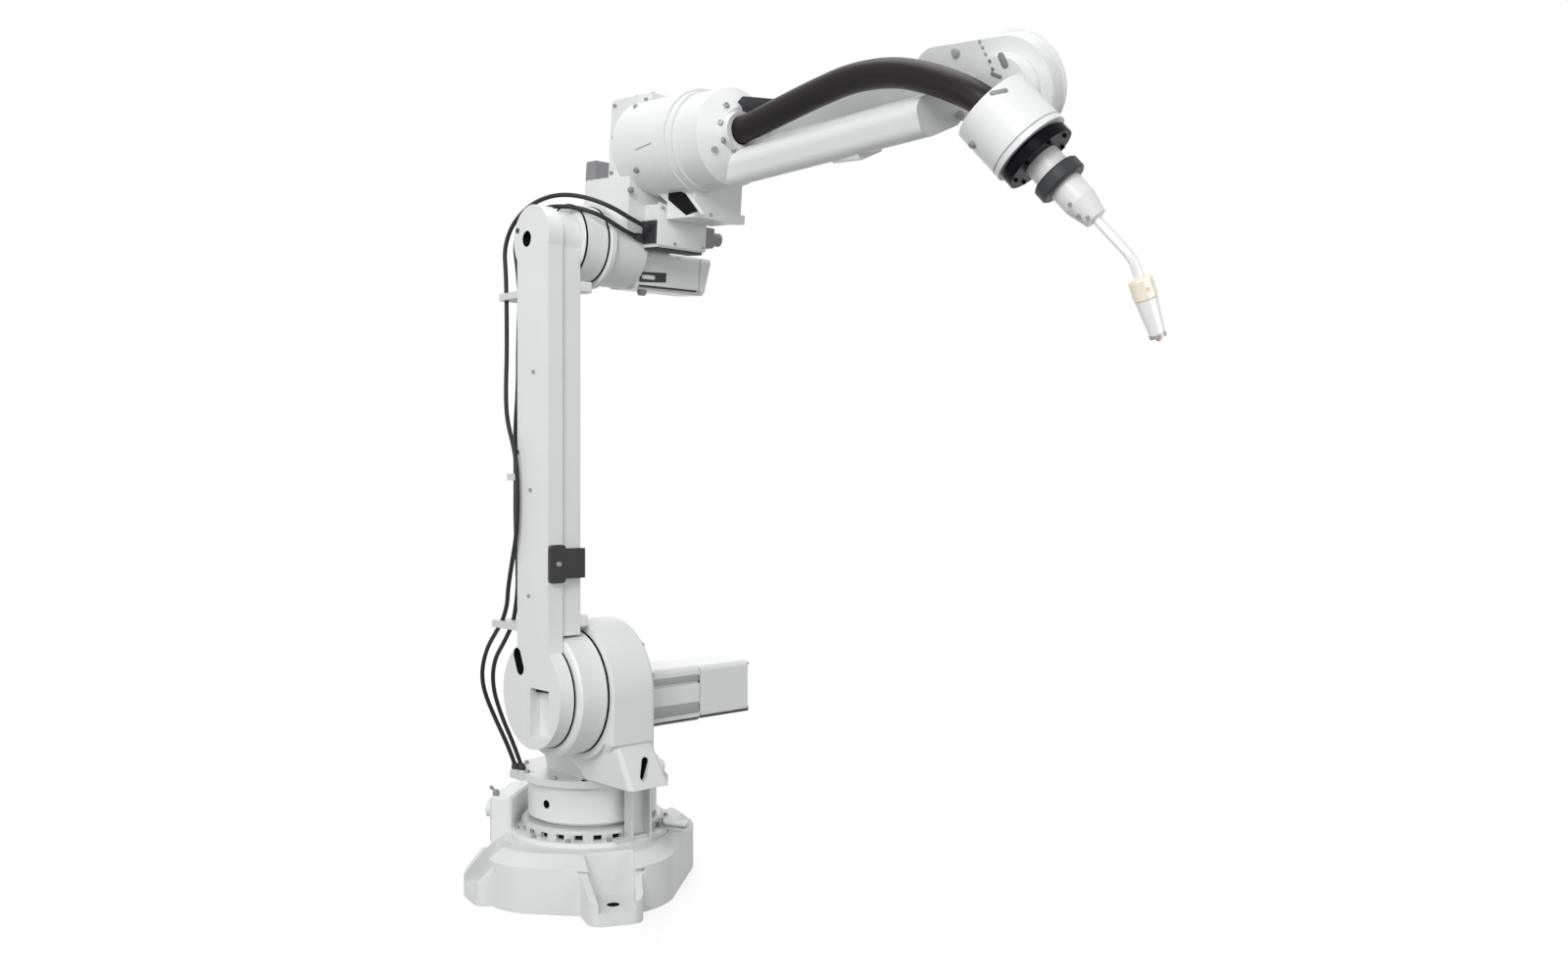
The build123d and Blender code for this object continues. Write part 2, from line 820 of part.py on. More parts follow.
# Elbow housing: joint drum, neck, and the barrel that carries the rolling forearm
with BuildPart() as elbow_housing:
    with BuildSketch(elbow_side(elbow_ring_back_y + flange_thickness)):
        Circle(flange_radius)
    extrude(amount=flange_thickness)
    with BuildSketch(elbow_side(elbow_drum_back_y)):
        Circle(elbow_drum_radius)
    extrude(amount=elbow_drum_back_y - elbow_ring_back_y - flange_thickness)
    with BuildSketch(elbow_side(neck_back_y)):
        with BuildLine():
            Polyline(
                (-neck_half, 0),
                (neck_half, 0),
                (neck_half, forearm_rise),
                (barrel_rear_a, forearm_rise),
                (barrel_rear_a, rear_block_high_b),
                (-neck_half, rear_block_high_b),
                close=True,
            )
        make_face()
    extrude(amount=neck_back_y - neck_front_y)
    with BuildSketch(elbow_side(neck_back_y)):
        with BuildLine():
            Polyline(
                (rear_block_a, rear_block_low_b),
                (0, rear_block_low_b),
                (0, rear_block_high_b),
                (rear_block_a, rear_block_high_b),
                close=True,
            )
        make_face()
    extrude(amount=neck_back_y - rear_block_front_y)
    with BuildSketch(elbow_side(lower_box_back_y)):
        with BuildLine():
            Polyline(
                (lower_box_rear_a, lower_box_low_b),
                (seam_a, lower_box_low_b),
                (seam_a, forearm_rise),
                (0, forearm_rise),
                (neck_half, lower_box_low_b + lower_box_rear_a / 2),
                (lower_box_rear_a, lower_box_low_b + lower_box_rear_a / 4),
                close=True,
            )
        make_face()
    extrude(amount=lower_box_back_y - lower_box_front_y)
    with BuildSketch(elbow_section(barrel_rear_a)):
        with Locations((0, forearm_rise)):
            Circle(barrel_radius)
    extrude(amount=seam_a - barrel_rear_a)
    with BuildSketch(elbow_section(seam_a - collar_length)):
        with Locations((0, forearm_rise)):
            Circle(collar_radius)
    extrude(amount=collar_length)
    # Lug at the lower front corner of the box
    with BuildSketch(elbow_side(lower_box_back_y + box_lug)):
        with Locations((seam_a, lower_box_low_b)):
            Rectangle(2 * box_lug, box_lug_height, align=(Align.MAX, Align.MIN))
    extrude(amount=2 * box_lug)
write(elbow_housing.part, "elbow_housing")

# Elbow motor under the neck, with a slanted far end
with BuildPart() as elbow_motor:
    with BuildSketch(elbow_side(elbow_motor_end_y)):
        with Locations((0, -elbow_motor_height / 2)):
            RectangleRounded(2 * elbow_motor_half, elbow_motor_height, motor_corner)
    extrude(amount=elbow_motor_end_y - elbow_drum_back_y)
    slant_view = Plane(
        origin=axis3_point - forearm_dir * elbow_motor_half,
        x_dir=(0, 1, 0),
        z_dir=forearm_dir,
    )
    with BuildSketch(slant_view):
        with BuildLine():
            Polyline(
                (elbow_motor_end_y, 0),
                (elbow_motor_end_y, -elbow_motor_height),
                (elbow_motor_end_y - elbow_motor_slant, -elbow_motor_height),
                close=True,
            )
        make_face()
    extrude(amount=2 * elbow_motor_half, mode=Mode.SUBTRACT)
write(elbow_motor.part, "elbow_motor")

# Junction box on the front of the neck, with a sloped top
with BuildPart() as junction_box:
    with BuildSketch(elbow_section(neck_half)):
        with BuildLine():
            Polyline(
                (box_front_y, box_low_b),
                (box_back_y, box_low_b),
                (box_back_y, box_high_b - box_slope),
                (box_front_y, box_high_b),
                close=True,
            )
        make_face()
    extrude(amount=box_depth)
    add(elbow_housing.part, mode=Mode.SUBTRACT)
write(junction_box.part, "junction_box")

# Dark plug on the far side of the junction box
plug_a = neck_half + box_depth / 2
plug_b = (box_low_b + box_high_b - box_slope) / 2
with BuildPart() as connector_plug:
    with BuildSketch(elbow_side(box_back_y + plug_length)):
        with Locations((plug_a, plug_b)):
            Circle(plug_radius)
    extrude(amount=plug_length)
    with BuildSketch(elbow_side(box_back_y + plug_length / 2)):
        with Locations((plug_a, plug_b)):
            RectangleRounded(3 * plug_radius, 3 * plug_radius, ring_chamfer)
    extrude(amount=plug_length / 2)
write(connector_plug.part, "connector_plug")

# Wrist motors in a block on the barrel, and the roll motor behind it
with BuildPart() as wrist_motor:
    with BuildSketch(elbow_side(upper_back_y)):
        with BuildLine():
            Polyline(
                (upper_rear_a, rear_block_high_b),
                (upper_front_a, rear_block_high_b),
                (upper_front_a, upper_top_b),
                (upper_rear_a, upper_top_b),
                close=True,
            )
        make_face()
    extrude(amount=upper_back_y - upper_front_y)
    chamfer(wrist_motor.edges().filter_by(Axis.Y).group_by(Axis.Z)[-1], motor_corner / 2)
    add(elbow_housing.part, mode=Mode.SUBTRACT)
write(wrist_motor.part, "wrist_motor")
with BuildPart() as roll_motor:
    with BuildSketch(elbow_section(upper_rear_a - roll_motor_length)):
        with Locations((roll_motor_y, forearm_rise)):
            RectangleRounded(roll_motor_width, roll_motor_width, motor_corner)
    extrude(amount=roll_motor_length)
write(roll_motor.part, "roll_motor")
with BuildPart() as connector_block:
    with BuildSketch(elbow_side(rear_block_front_y + connector_width)):
        with Locations(((rear_block_a + upper_rear_a) / 2, rear_block_high_b)):
            Rectangle(
                upper_rear_a - rear_block_a,
                connector_height,
                align=(Align.CENTER, Align.MIN),
            )
    extrude(amount=connector_width)
    chamfer(connector_block.edges().filter_by(Axis.Y).group_by(Axis.Z)[-1], ring_chamfer)
write(connector_block.part, "connector_block")

# Tube that the hose lies in, a little wider than the hose
hose_channel = cable(hose_route, hose_diameter + 2 * cable_clearance)

# Forearm casting: rolling drum, cone, tapered beam under the hose and a pod for the tilt drive
with BuildPart() as forearm_casting:
    with BuildSketch(forearm_section(seam_a + seat_gap)):
        Circle(roll_flange_radius)
    extrude(amount=roll_flange_length)
    with BuildSketch(forearm_section(seam_a + seat_gap)):
        Circle(forearm_radius)
    extrude(amount=drum_front_a - seam_a - seat_gap)
    with BuildSketch(forearm_section(drum_front_a)):
        Circle(forearm_radius)
    with BuildSketch(forearm_section(cone_front_a)):
        Circle(cone_front_radius)
    loft()
    with BuildSketch(forearm_section(beam_rear_a)):
        with Locations((beam_rear_x, beam_rear_top - beam_rear_height / 2)):
            RectangleRounded(beam_rear_width, beam_rear_height, beam_corner)
    with BuildSketch(forearm_section(beam_front_a)):
        with Locations((beam_front_x, beam_front_top - beam_front_height / 2)):
            RectangleRounded(beam_front_width, beam_front_height, beam_corner)
    loft()
    # Oval pocket near the front of the beam's near side
    pocket_mouth = roll_origin + forearm_dir * (beam_front_a - beam_pocket_inset) + tilt_axis * beam_near_x
    with BuildSketch(Plane(origin=pocket_mouth, x_dir=forearm_dir, z_dir=-tilt_axis)):
        with Locations((0, beam_pocket_y)):
            SlotOverall(beam_pocket_length, beam_pocket_width)
    extrude(amount=-beam_pocket_depth, mode=Mode.SUBTRACT)
    # Far wall of the beam, from the drum to the pod
    with BuildSketch(wrist_plane.offset(pod_inner_x)):
        with BuildLine():
            Polyline(
                (beam_rear_a - forearm_length, beam_rear_height / 2),
                (beam_rear_a - forearm_length, -beam_rear_height / 2),
                (beam_front_a - forearm_length, -hump_rise - hump_radius / 2),
                (beam_front_a - forearm_length, 0),
                close=True,
            )
        make_face()
    extrude(amount=rib_thickness)
    with BuildSketch(wrist_plane.offset(pod_inner_x)):
        Circle(wheel_radius)
        with Locations((-hump_back, -hump_rise)):
            Circle(hump_radius)
        make_hull()
    extrude(amount=pod_outer_x - pod_inner_x)
    add(hose_channel, mode=Mode.SUBTRACT)
write(forearm_casting.part, "forearm_casting")

# Collar where the hose leaves the cone, and the hose itself
with BuildPart() as hose_collar:
    with BuildSketch(forearm_section(cone_front_a)):
        with Locations((hose_exit_x, hose_exit_y)):
            Circle(hose_collar_radius)
            Circle(hose_diameter / 2 + cable_clearance, mode=Mode.SUBTRACT)
    extrude(amount=hose_collar_length)
    add(hose_channel, mode=Mode.SUBTRACT)
    add(forearm_casting.part, mode=Mode.SUBTRACT)
write(hose_collar.part, "hose_collar")
write(cable(hose_route, hose_diameter), "process_hose")

# Clamp box under the beam
clamp_a = forearm_length - clamp_setback
clamp_share = (clamp_a - beam_rear_a) / (beam_front_a - beam_rear_a)
beam_rear_bottom = beam_rear_top - beam_rear_height
beam_front_bottom = beam_front_top - beam_front_height
clamp_middle = beam_rear_bottom + clamp_share * (beam_front_bottom - beam_rear_bottom) + clamp_rise
with BuildPart() as forearm_clamp:
    with BuildSketch(forearm_section(clamp_a)):
        with Locations((clamp_x, clamp_middle)):
            RectangleRounded(clamp_width, clamp_drop, ring_chamfer)
    extrude(amount=clamp_length)
    add(forearm_casting.part, mode=Mode.SUBTRACT)
write(forearm_clamp.part, "forearm_clamp")

# Tilt drive on the outer side of the pod: a round housing and its cover
with BuildPart() as drive_housing:
    with BuildSketch(wrist_plane.offset(pod_outer_x)):
        Circle(wheel_radius)
    extrude(amount=drive_step)
write(drive_housing.part, "drive_housing")
with BuildPart() as wrist_drive_cover:
    with BuildSketch(wrist_plane.offset(pod_outer_x + drive_step)):
        Circle(drive_cover_radius)
    extrude(amount=drive_cover_outer_x - pod_outer_x - drive_step)
    chamfer(wrist_drive_cover.edges().filter_by(GeomType.CIRCLE)[-1], ring_chamfer)
write(wrist_drive_cover.part, "wrist_drive_cover")

# Tilt housing: a cup on the tool axis with a side hub on the tilt axis, open at the back
with BuildPart() as tilt_housing:
    with BuildSketch(tool_plane.offset(cup_rear)):
        Circle(cup_radius)
    extrude(amount=cup_front - cup_rear)
    with BuildSketch(wrist_plane.offset(cup_bore_radius + cup_groove)):
        Circle(side_hub_radius)
    extrude(amount=pod_inner_x - seat_gap - cup_bore_radius - cup_groove)
    with BuildSketch(tool_plane.offset(-cup_radius)):
        Circle(cup_bore_radius)
    extrude(amount=cup_bore_depth + cup_radius, mode=Mode.SUBTRACT)
    with BuildSketch(tool_plane.offset(cup_front - 4 * cup_groove)):
        Circle(cup_radius)
        Circle(cup_radius - cup_groove, mode=Mode.SUBTRACT)
    extrude(amount=cup_groove, mode=Mode.SUBTRACT)
write(tilt_housing.part, "tilt_housing")

# Black turning disc in two steps
with BuildPart() as turning_disc:
    with BuildSketch(tool_plane.offset(cup_front + seat_gap)):
        Circle(disc_radius - disc_step)
    extrude(amount=disc_step)
    with BuildSketch(tool_plane.offset(cup_front + seat_gap + disc_step)):
        Circle(disc_radius)
    extrude(amount=disc_thickness - disc_step)
    chamfer(turning_disc.edges().filter_by(GeomType.CIRCLE)[-1], cup_groove)
write(turning_disc.part, "turning_disc")

# Torch: mount, clamp ring and body
mount_start = cup_front + seat_gap + disc_thickness
ring_start = mount_start + mount_length
body_start = ring_start + clamp_ring_thickness
with BuildPart() as torch_mount:
    with BuildSketch(tool_plane.offset(mount_start)):
        Circle(mount_radius)
    extrude(amount=mount_length)
write(torch_mount.part, "torch_mount")
with BuildPart() as torch_clamp:
    with BuildSketch(tool_plane.offset(ring_start)):
        Circle(clamp_ring_radius)
    extrude(amount=clamp_ring_thickness)
    chamfer(torch_clamp.edges(), cup_groove)
write(torch_clamp.part, "torch_clamp")
torch_view = Plane(origin=wrist_point, x_dir=tool_axis, z_dir=tilt_axis)
with BuildPart() as torch_body:
    with BuildSketch(torch_view):
        with BuildLine():
            Polyline(
                (body_start, 0),
                (body_start, body_radius),
                (body_start + body_length / 2, body_radius),
                (body_start + body_length, body_tip_radius),
                (body_start + body_length, 0),
                close=True,
            )
        make_face()
    revolve(axis=Axis(wrist_point, tool_axis))
write(torch_body.part, "torch_body")

# Bent neck, then the insulator, nozzle and contact tip in line with its end
neck_start = body_start + body_length
neck_lean = math.radians(neck_bend)
neck_dir = tool_axis * math.cos(neck_lean) - tool_plane.y_dir * math.sin(neck_lean)
neck_corner_point = wrist_point + tool_axis * (neck_start + neck_straight)
neck_end_point = neck_corner_point + neck_dir * neck_length_after
with BuildPart() as swan_neck:
    with BuildLine() as neck_route:
        FilletPolyline(
            wrist_point + tool_axis * neck_start,
            neck_corner_point,
            neck_end_point,
            radius=neck_bend_radius,
        )
    with BuildSketch(tool_plane.offset(neck_start)):
        Circle(neck_radius)
    sweep(path=neck_route.line)
write(swan_neck.part, "swan_neck")
neck_plane = Plane(origin=neck_end_point, x_dir=tilt_axis, z_dir=neck_dir)
with BuildPart() as insulator:
    with BuildSketch(neck_plane):
        Circle(insulator_radius)
    extrude(amount=insulator_length)
    chamfer(insulator.edges(), cup_groove)
write(insulator.part, "insulator")
with BuildPart() as gas_nozzle:
    with BuildSketch(neck_plane.offset(insulator_length)):
        Circle(nozzle_radius)
    with BuildSketch(neck_plane.offset(insulator_length + nozzle_length)):
        Circle(nozzle_tip_radius)
    loft()
    with BuildSketch(neck_plane.offset(insulator_length + tip_length)):
        Circle(nozzle_tip_radius - cup_groove)
    extrude(amount=nozzle_length, mode=Mode.SUBTRACT)
write(gas_nozzle.part, "gas_nozzle")
with BuildPart() as contact_tip:
    with BuildSketch(neck_plane.offset(insulator_length + tip_length)):
        Circle(tip_radius)
    extrude(amount=nozzle_length)
write(contact_tip.part, "contact_tip")

bends = [round(radius) for route in cable_paths + (hose_route,) for radius in cord_radii(route)]
print("Smallest cable bend:", min(bends), "mm")
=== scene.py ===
# %% [markdown]
# # An industrial robot arm in white paint
# The solid parts of this arm come from a CAD model that is already packed. This notebook gives them their
# finish, adds the parts that are too small or too soft for the CAD model, and lights the result like a
# studio picture. A cell of text comes before each step and says why it is done in that way.
# Blender works in metres. Most sizes are written in millimetres, and a mesh becomes metres when it is put in
# its place.

import json
import math

import bmesh
import bpy
from mathutils import Matrix, Vector


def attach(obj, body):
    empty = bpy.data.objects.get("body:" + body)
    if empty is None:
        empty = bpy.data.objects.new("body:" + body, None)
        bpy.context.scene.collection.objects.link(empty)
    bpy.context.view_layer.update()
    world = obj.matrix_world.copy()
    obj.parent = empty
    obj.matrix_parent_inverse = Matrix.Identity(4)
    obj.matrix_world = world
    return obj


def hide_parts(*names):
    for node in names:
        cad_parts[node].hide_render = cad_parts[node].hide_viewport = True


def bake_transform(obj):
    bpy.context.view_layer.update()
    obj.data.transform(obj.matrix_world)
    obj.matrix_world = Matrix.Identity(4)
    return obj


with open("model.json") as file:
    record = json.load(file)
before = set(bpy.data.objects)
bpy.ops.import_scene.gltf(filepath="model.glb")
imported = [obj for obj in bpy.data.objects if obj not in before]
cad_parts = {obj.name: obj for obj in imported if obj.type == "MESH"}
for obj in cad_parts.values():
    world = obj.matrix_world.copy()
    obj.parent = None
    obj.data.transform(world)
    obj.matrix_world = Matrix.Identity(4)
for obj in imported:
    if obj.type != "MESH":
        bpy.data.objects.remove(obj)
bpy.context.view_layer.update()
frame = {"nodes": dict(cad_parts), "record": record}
MM = 0.001

# %% [markdown]
# ## The camera
# The picture was taken from the front left of the arm, at about half its height, with the camera held level.
# A level camera keeps upright edges upright, so a small shift of the lens frames the arm in place of a tilt.

# %% Camera
camera_data = bpy.data.cameras.new("camera")
camera_data.sensor_width = 36
camera_data.lens = 30.375
camera_data.shift_y = -0.0125
camera_data.clip_end = 200
camera = bpy.data.objects.new("camera", camera_data)
camera.location = (2.416, -1.616, 0.8875)
camera.rotation_euler = (math.radians(90), 0, math.radians(48))
bpy.context.scene.collection.objects.link(camera)
bpy.context.scene.camera = camera
print("camera at", tuple(round(v, 3) for v in camera.location))

# %% [markdown]
# ## The arm's own directions
# Details are easiest to place along the part that carries them: along the leaning forearm, round the tilt
# axis or along the tool. These are the axes and angles of the CAD model, written once, in millimetres.

# %% Axes of the arm
axis_x, shoulder_z, lower_arm_length = 150, 445, 900
roll_axis_rise, wrist_reach = 205, 924
left, front, up = (0, -1, 0), (1, 0, 0), (0, 0, 1)
elbow_axis = Vector((axis_x, 0, shoulder_z + lower_arm_length))
pitch, roll, tilt = (math.radians(angle) for angle in (5, 25, 51))
across = Vector((0, 1, 0))
forearm_dir = Vector((math.cos(pitch), 0, -math.sin(pitch)))
forearm_up = Vector((math.sin(pitch), 0, math.cos(pitch)))
roll_origin = elbow_axis + forearm_up * roll_axis_rise
wrist_point = roll_origin + forearm_dir * wrist_reach
tilt_axis = across * math.cos(roll) + forearm_up * math.sin(roll)
tilt_down = tilt_axis.cross(forearm_dir)
tool_axis = forearm_dir * math.cos(tilt) + tilt_down * math.sin(tilt)
tool_side = tool_axis.cross(tilt_axis)


def placed(origin, z_dir, x_dir=None):
    """Matrix that puts a shape drawn round its own Z at origin, with Z along z_dir."""
    z = Vector(z_dir).normalized()
    x = Vector(x_dir) if x_dir is not None else z.orthogonal()
    x = (x - z * x.dot(z)).normalized()
    turn = Matrix((x, z.cross(x), z)).transposed().to_4x4()
    return Matrix.Translation(Vector(origin)) @ turn


def on_elbow(a, y, b):
    """Point a along the forearm's lean, y across and b up from the elbow axis."""
    return elbow_axis + forearm_dir * a + across * y + forearm_up * b


def on_forearm(a, x, y):
    """Point a along the roll axis, x towards the tilt drive and y up across it."""
    return roll_origin + forearm_dir * a + tilt_axis * x - tilt_down * y


def on_wrist(a, y, out):
    """Point in the plane of the tilt drive: a forward, y down, out along the tilt axis."""
    return wrist_point + forearm_dir * a + tilt_down * y + tilt_axis * out


def on_tool(x, y, out):
    """Point beside the tool axis, out along it from the wrist centre."""
    return wrist_point + tilt_axis * x + tool_side * y + tool_axis * out


def ring_of(count, radius, turn=0.0):
    """Evenly spaced places on a circle."""
    steps = (math.radians(turn) + 2 * math.pi * k / count for k in range(count))
    return [(radius * math.cos(t), radius * math.sin(t)) for t in steps]


print("wrist centre in mm:", [round(v, 1) for v in wrist_point])

# %% [markdown]
# ## Shared surface effects
# Powder coat, moulded plastic and metal differ in colour, but they share the same small faults. A shader node
# group holds each fault once, with named inputs, and every material places the group with its own values.
# The first group makes grain: a fine height for bumps, a colour that drifts a little and an uneven gloss.

# %% Helpers for node trees


def feed(tree, socket, value):
    """Links a socket to another one, or gives it a plain value."""
    if isinstance(value, bpy.types.NodeSocket):
        tree.links.new(value, socket)
    else:
        socket.default_value = value


def wire(tree, kind, **inputs):
    """Adds a node, sets its plain inputs and links those that are given as sockets."""
    node = tree.nodes.new(kind)
    for name, value in inputs.items():
        feed(tree, node.inputs[name.replace("_", " ")], value)
    return node


def math_node(tree, operation, first, second=0.0):
    """One Math node, its inputs given as numbers or sockets."""
    node = tree.nodes.new("ShaderNodeMath")
    node.operation = operation
    for socket, value in zip(node.inputs, (first, second)):
        feed(tree, socket, value)
    return node.outputs[0]


def mixed(tree, share, first, second):
    """Colour mixed from first to second by share."""
    node = tree.nodes.new("ShaderNodeMix")
    node.data_type = "RGBA"
    for index, value in ((0, share), (6, first), (7, second)):
        feed(tree, node.inputs[index], value)
    return node.outputs[2]


def new_group(name, inputs, outputs):
    """Empty shader group with named sockets, and its two end nodes."""
    group = bpy.data.node_groups.new(name, "ShaderNodeTree")
    for socket, kind, default in inputs:
        made = group.interface.new_socket(socket, in_out="INPUT", socket_type=kind)
        if default is not None:
            made.default_value = default
    for socket, kind in outputs:
        group.interface.new_socket(socket, in_out="OUTPUT", socket_type=kind)
    return group, group.nodes.new("NodeGroupInput").outputs, group.nodes.new("NodeGroupOutput").inputs


# %% Group: grain
FLOAT, COLOUR, VECTOR = "NodeSocketFloat", "NodeSocketColor", "NodeSocketVector"
grain, grain_in, grain_out = new_group(
    "surface grain",
    [
        ("Position", VECTOR, None),
        ("Color", COLOUR, (0.8, 0.8, 0.8, 1)),
        ("Grain Scale", FLOAT, 700.0),
        ("Drift Scale", FLOAT, 9.0),
        ("Drift", FLOAT, 0.03),
        ("Roughness", FLOAT, 0.4),
        ("Unevenness", FLOAT, 0.08),
    ],
    [("Color", COLOUR), ("Roughness", FLOAT), ("Height", FLOAT)],
)
fine = wire(grain, "ShaderNodeTexNoise", Vector=grain_in["Position"], Scale=grain_in["Grain Scale"],
            Detail=3.0)
broad = wire(grain, "ShaderNodeTexNoise", Vector=grain_in["Position"], Scale=grain_in["Drift Scale"],
             Detail=4.0)
centred = math_node(grain, "SUBTRACT", broad.outputs["Fac"], 0.5)
drifted = math_node(grain, "MULTIPLY", centred, grain_in["Drift"])
shade = math_node(grain, "ADD", math_node(grain, "MULTIPLY", drifted, 2.0), 1.0)
tinted = wire(grain, "ShaderNodeVectorMath", Vector=grain_in["Color"])
tinted.operation = "SCALE"
grain.links.new(shade, tinted.inputs["Scale"])
grain.links.new(tinted.outputs[0], grain_out["Color"])
uneven = math_node(grain, "MULTIPLY", centred, grain_in["Unevenness"])
grain.links.new(math_node(grain, "ADD", uneven, grain_in["Roughness"]), grain_out["Roughness"])
grain.links.new(fine.outputs["Fac"], grain_out["Height"])
print("group:", grain.name, "with", len(grain.nodes), "nodes")

# %% [markdown]
# Castings have rounded edges, because paint and handling soften them. A Bevel node gives the same look
# without more faces: it looks round the point that is shaded and bends the normal near an edge. Where the
# bent normal leaves the true one there is an edge, and that difference also makes the mask for wear.

# %% Group: soft edges
edges, edges_in, edges_out = new_group(
    "soft edges",
    [
        ("Color", COLOUR, (0.8, 0.8, 0.8, 1)),
        ("Worn Color", COLOUR, (0.6, 0.6, 0.6, 1)),
        ("Wear", FLOAT, 0.2),
        ("Radius", FLOAT, 0.0016),
        ("Position", VECTOR, None),
    ],
    [("Color", COLOUR), ("Normal", VECTOR)],
)
rounded = wire(edges, "ShaderNodeBevel", Radius=edges_in["Radius"])
rounded.samples = 4
surface = edges.nodes.new("ShaderNodeNewGeometry")
agreement = wire(edges, "ShaderNodeVectorMath")
agreement.operation = "DOT_PRODUCT"
edges.links.new(rounded.outputs["Normal"], agreement.inputs[0])
edges.links.new(surface.outputs["Normal"], agreement.inputs[1])
edge_mask = math_node(edges, "SUBTRACT", 1.0, agreement.outputs["Value"])
patches = wire(edges, "ShaderNodeTexNoise", Vector=edges_in["Position"], Scale=60.0, Detail=4.0)
patchy = math_node(edges, "MULTIPLY", math_node(edges, "MULTIPLY", edge_mask, 4.0), patches.outputs["Fac"])
worn = math_node(edges, "MULTIPLY", math_node(edges, "MINIMUM", patchy, 1.0), edges_in["Wear"])
edges.links.new(mixed(edges, worn, edges_in["Color"], edges_in["Worn Color"]), edges_out["Color"])
edges.links.new(rounded.outputs["Normal"], edges_out["Normal"])
print("group:", edges.name, "with", len(edges.nodes), "nodes")

# %% [markdown]
# Dust from the shop settles on faces that look up and holds in a patchy film. The mask comes from how far the
# surface faces the sky, broken by noise.

# %% Group: dust
dust, dust_in, dust_out = new_group(
    "settled dust",
    [
        ("Position", VECTOR, None),
        ("Color", COLOUR, (0.8, 0.8, 0.8, 1)),
        ("Dust Color", COLOUR, (0.62, 0.6, 0.57, 1)),
        ("Amount", FLOAT, 0.1),
    ],
    [("Color", COLOUR), ("Mask", FLOAT)],
)
facing = wire(dust, "ShaderNodeSeparateXYZ")
dust.links.new(dust.nodes.new("ShaderNodeNewGeometry").outputs["Normal"], facing.inputs[0])
upward = math_node(dust, "MAXIMUM", facing.outputs["Z"], 0.0)
film = wire(dust, "ShaderNodeTexNoise", Vector=dust_in["Position"], Scale=14.0, Detail=6.0, Roughness=0.62)
filmed = math_node(dust, "MULTIPLY", upward, film.outputs["Fac"])
settled = math_node(dust, "MULTIPLY", filmed, dust_in["Amount"])
dust.links.new(mixed(dust, settled, dust_in["Color"], dust_in["Dust Color"]), dust_out["Color"])
dust.links.new(settled, dust_out["Mask"])
print("group:", dust.name, "with", len(dust.nodes), "nodes")

# %% [markdown]
# ## Finishes
# One helper builds a finish from the three groups. Cast pieces get a coarser grain than covers made of sheet
# or moulding, because powder coat lies over the sand texture of the casting. Metals use the same helper with
# their Metallic value set on the shader itself.

# %% The helper for a finish


def finish(name, colour, rough, grain_scale=700.0, bump=0.15, drift=0.03, uneven=0.08, wear=0.1,
           worn=(0.7, 0.7, 0.69), dusty=0.08, metallic=0.0, soften=0.0016, specular=0.5):
    """Material of one finish: grain, soft edges and dust round a Principled shader."""
    material = bpy.data.materials.new(name)
    material.use_nodes = True
    tree = material.node_tree
    shader = tree.nodes["Principled BSDF"]
    place = tree.nodes.new("ShaderNodeTexCoord").outputs["Object"]

    def group(tree_group, **inputs):
        node = tree.nodes.new("ShaderNodeGroup")
        node.node_tree = tree_group
        for socket, value in inputs.items():
            feed(tree, node.inputs[socket.replace("_", " ")], value)
        return node.outputs

    coated = group(grain, Position=place, Color=(*colour, 1), Grain_Scale=grain_scale, Drift=drift,
                   Roughness=rough, Unevenness=uneven)
    edged = group(edges, Position=place, Color=coated["Color"], Worn_Color=(*worn, 1), Wear=wear,
                  Radius=soften)
    dusted = group(dust, Position=place, Color=edged["Color"], Amount=dusty)
    tree.links.new(dusted["Color"], shader.inputs["Base Color"])
    tree.links.new(coated["Roughness"], shader.inputs["Roughness"])
    bumps = wire(tree, "ShaderNodeBump", Strength=bump, Distance=0.0004, Height=coated["Height"],
                 Normal=edged["Normal"])
    tree.links.new(bumps.outputs["Normal"], shader.inputs["Normal"])
    shader.inputs["Metallic"].default_value = metallic
    shader.inputs["Specular IOR Level"].default_value = specular
    return material


# %% The finishes of this arm
cast_paint = finish("cast paint", (0.84, 0.85, 0.85), 0.38, grain_scale=420, bump=0.35, wear=0.12)
smooth_paint = finish("smooth paint", (0.84, 0.85, 0.85), 0.34, grain_scale=900, bump=0.12, wear=0.1)
cable_jacket = finish("cable jacket", (0.016, 0.016, 0.018), 0.42, bump=0.15, drift=0.1, wear=0.0, dusty=0.02,
                      specular=0.3)
hose_skin = finish("hose skin", (0.010, 0.007, 0.008), 0.36, grain_scale=500, bump=0.2, drift=0.12,
                   uneven=0.1, wear=0.0, dusty=0.01, specular=0.2)
pad_rubber = finish("pad rubber", (0.016, 0.016, 0.018), 0.62, grain_scale=500, bump=0.4, dusty=0.15,
                    worn=(0.06, 0.06, 0.06))
grey_plastic = finish("grey plastic", (0.26, 0.26, 0.27), 0.45, bump=0.2, worn=(0.4, 0.4, 0.4))
mid_grey_paint = finish("mid grey paint", (0.42, 0.43, 0.42), 0.4, bump=0.1)
clamp_plastic = finish("clamp plastic", (0.74, 0.75, 0.75), 0.45, bump=0.15)
dark_plastic = finish("dark plastic", (0.032, 0.033, 0.036), 0.45, bump=0.2, dusty=0.03, worn=(0.1, 0.1, 0.1),
                      specular=0.3)
dark_steel = finish("dark steel", (0.36, 0.37, 0.38), 0.36, grain_scale=1100, bump=0.1, metallic=0.85,
                    worn=(0.6, 0.6, 0.6))
black_anodised = finish("black anodised", (0.005, 0.005, 0.008), 0.3, grain_scale=1500, bump=0.03,
                        wear=0.03, worn=(0.1, 0.1, 0.13), dusty=0.0, specular=0.04)
torch_plastic = finish("torch plastic", (0.82, 0.82, 0.82), 0.32, bump=0.08, wear=0.04, dusty=0.02)
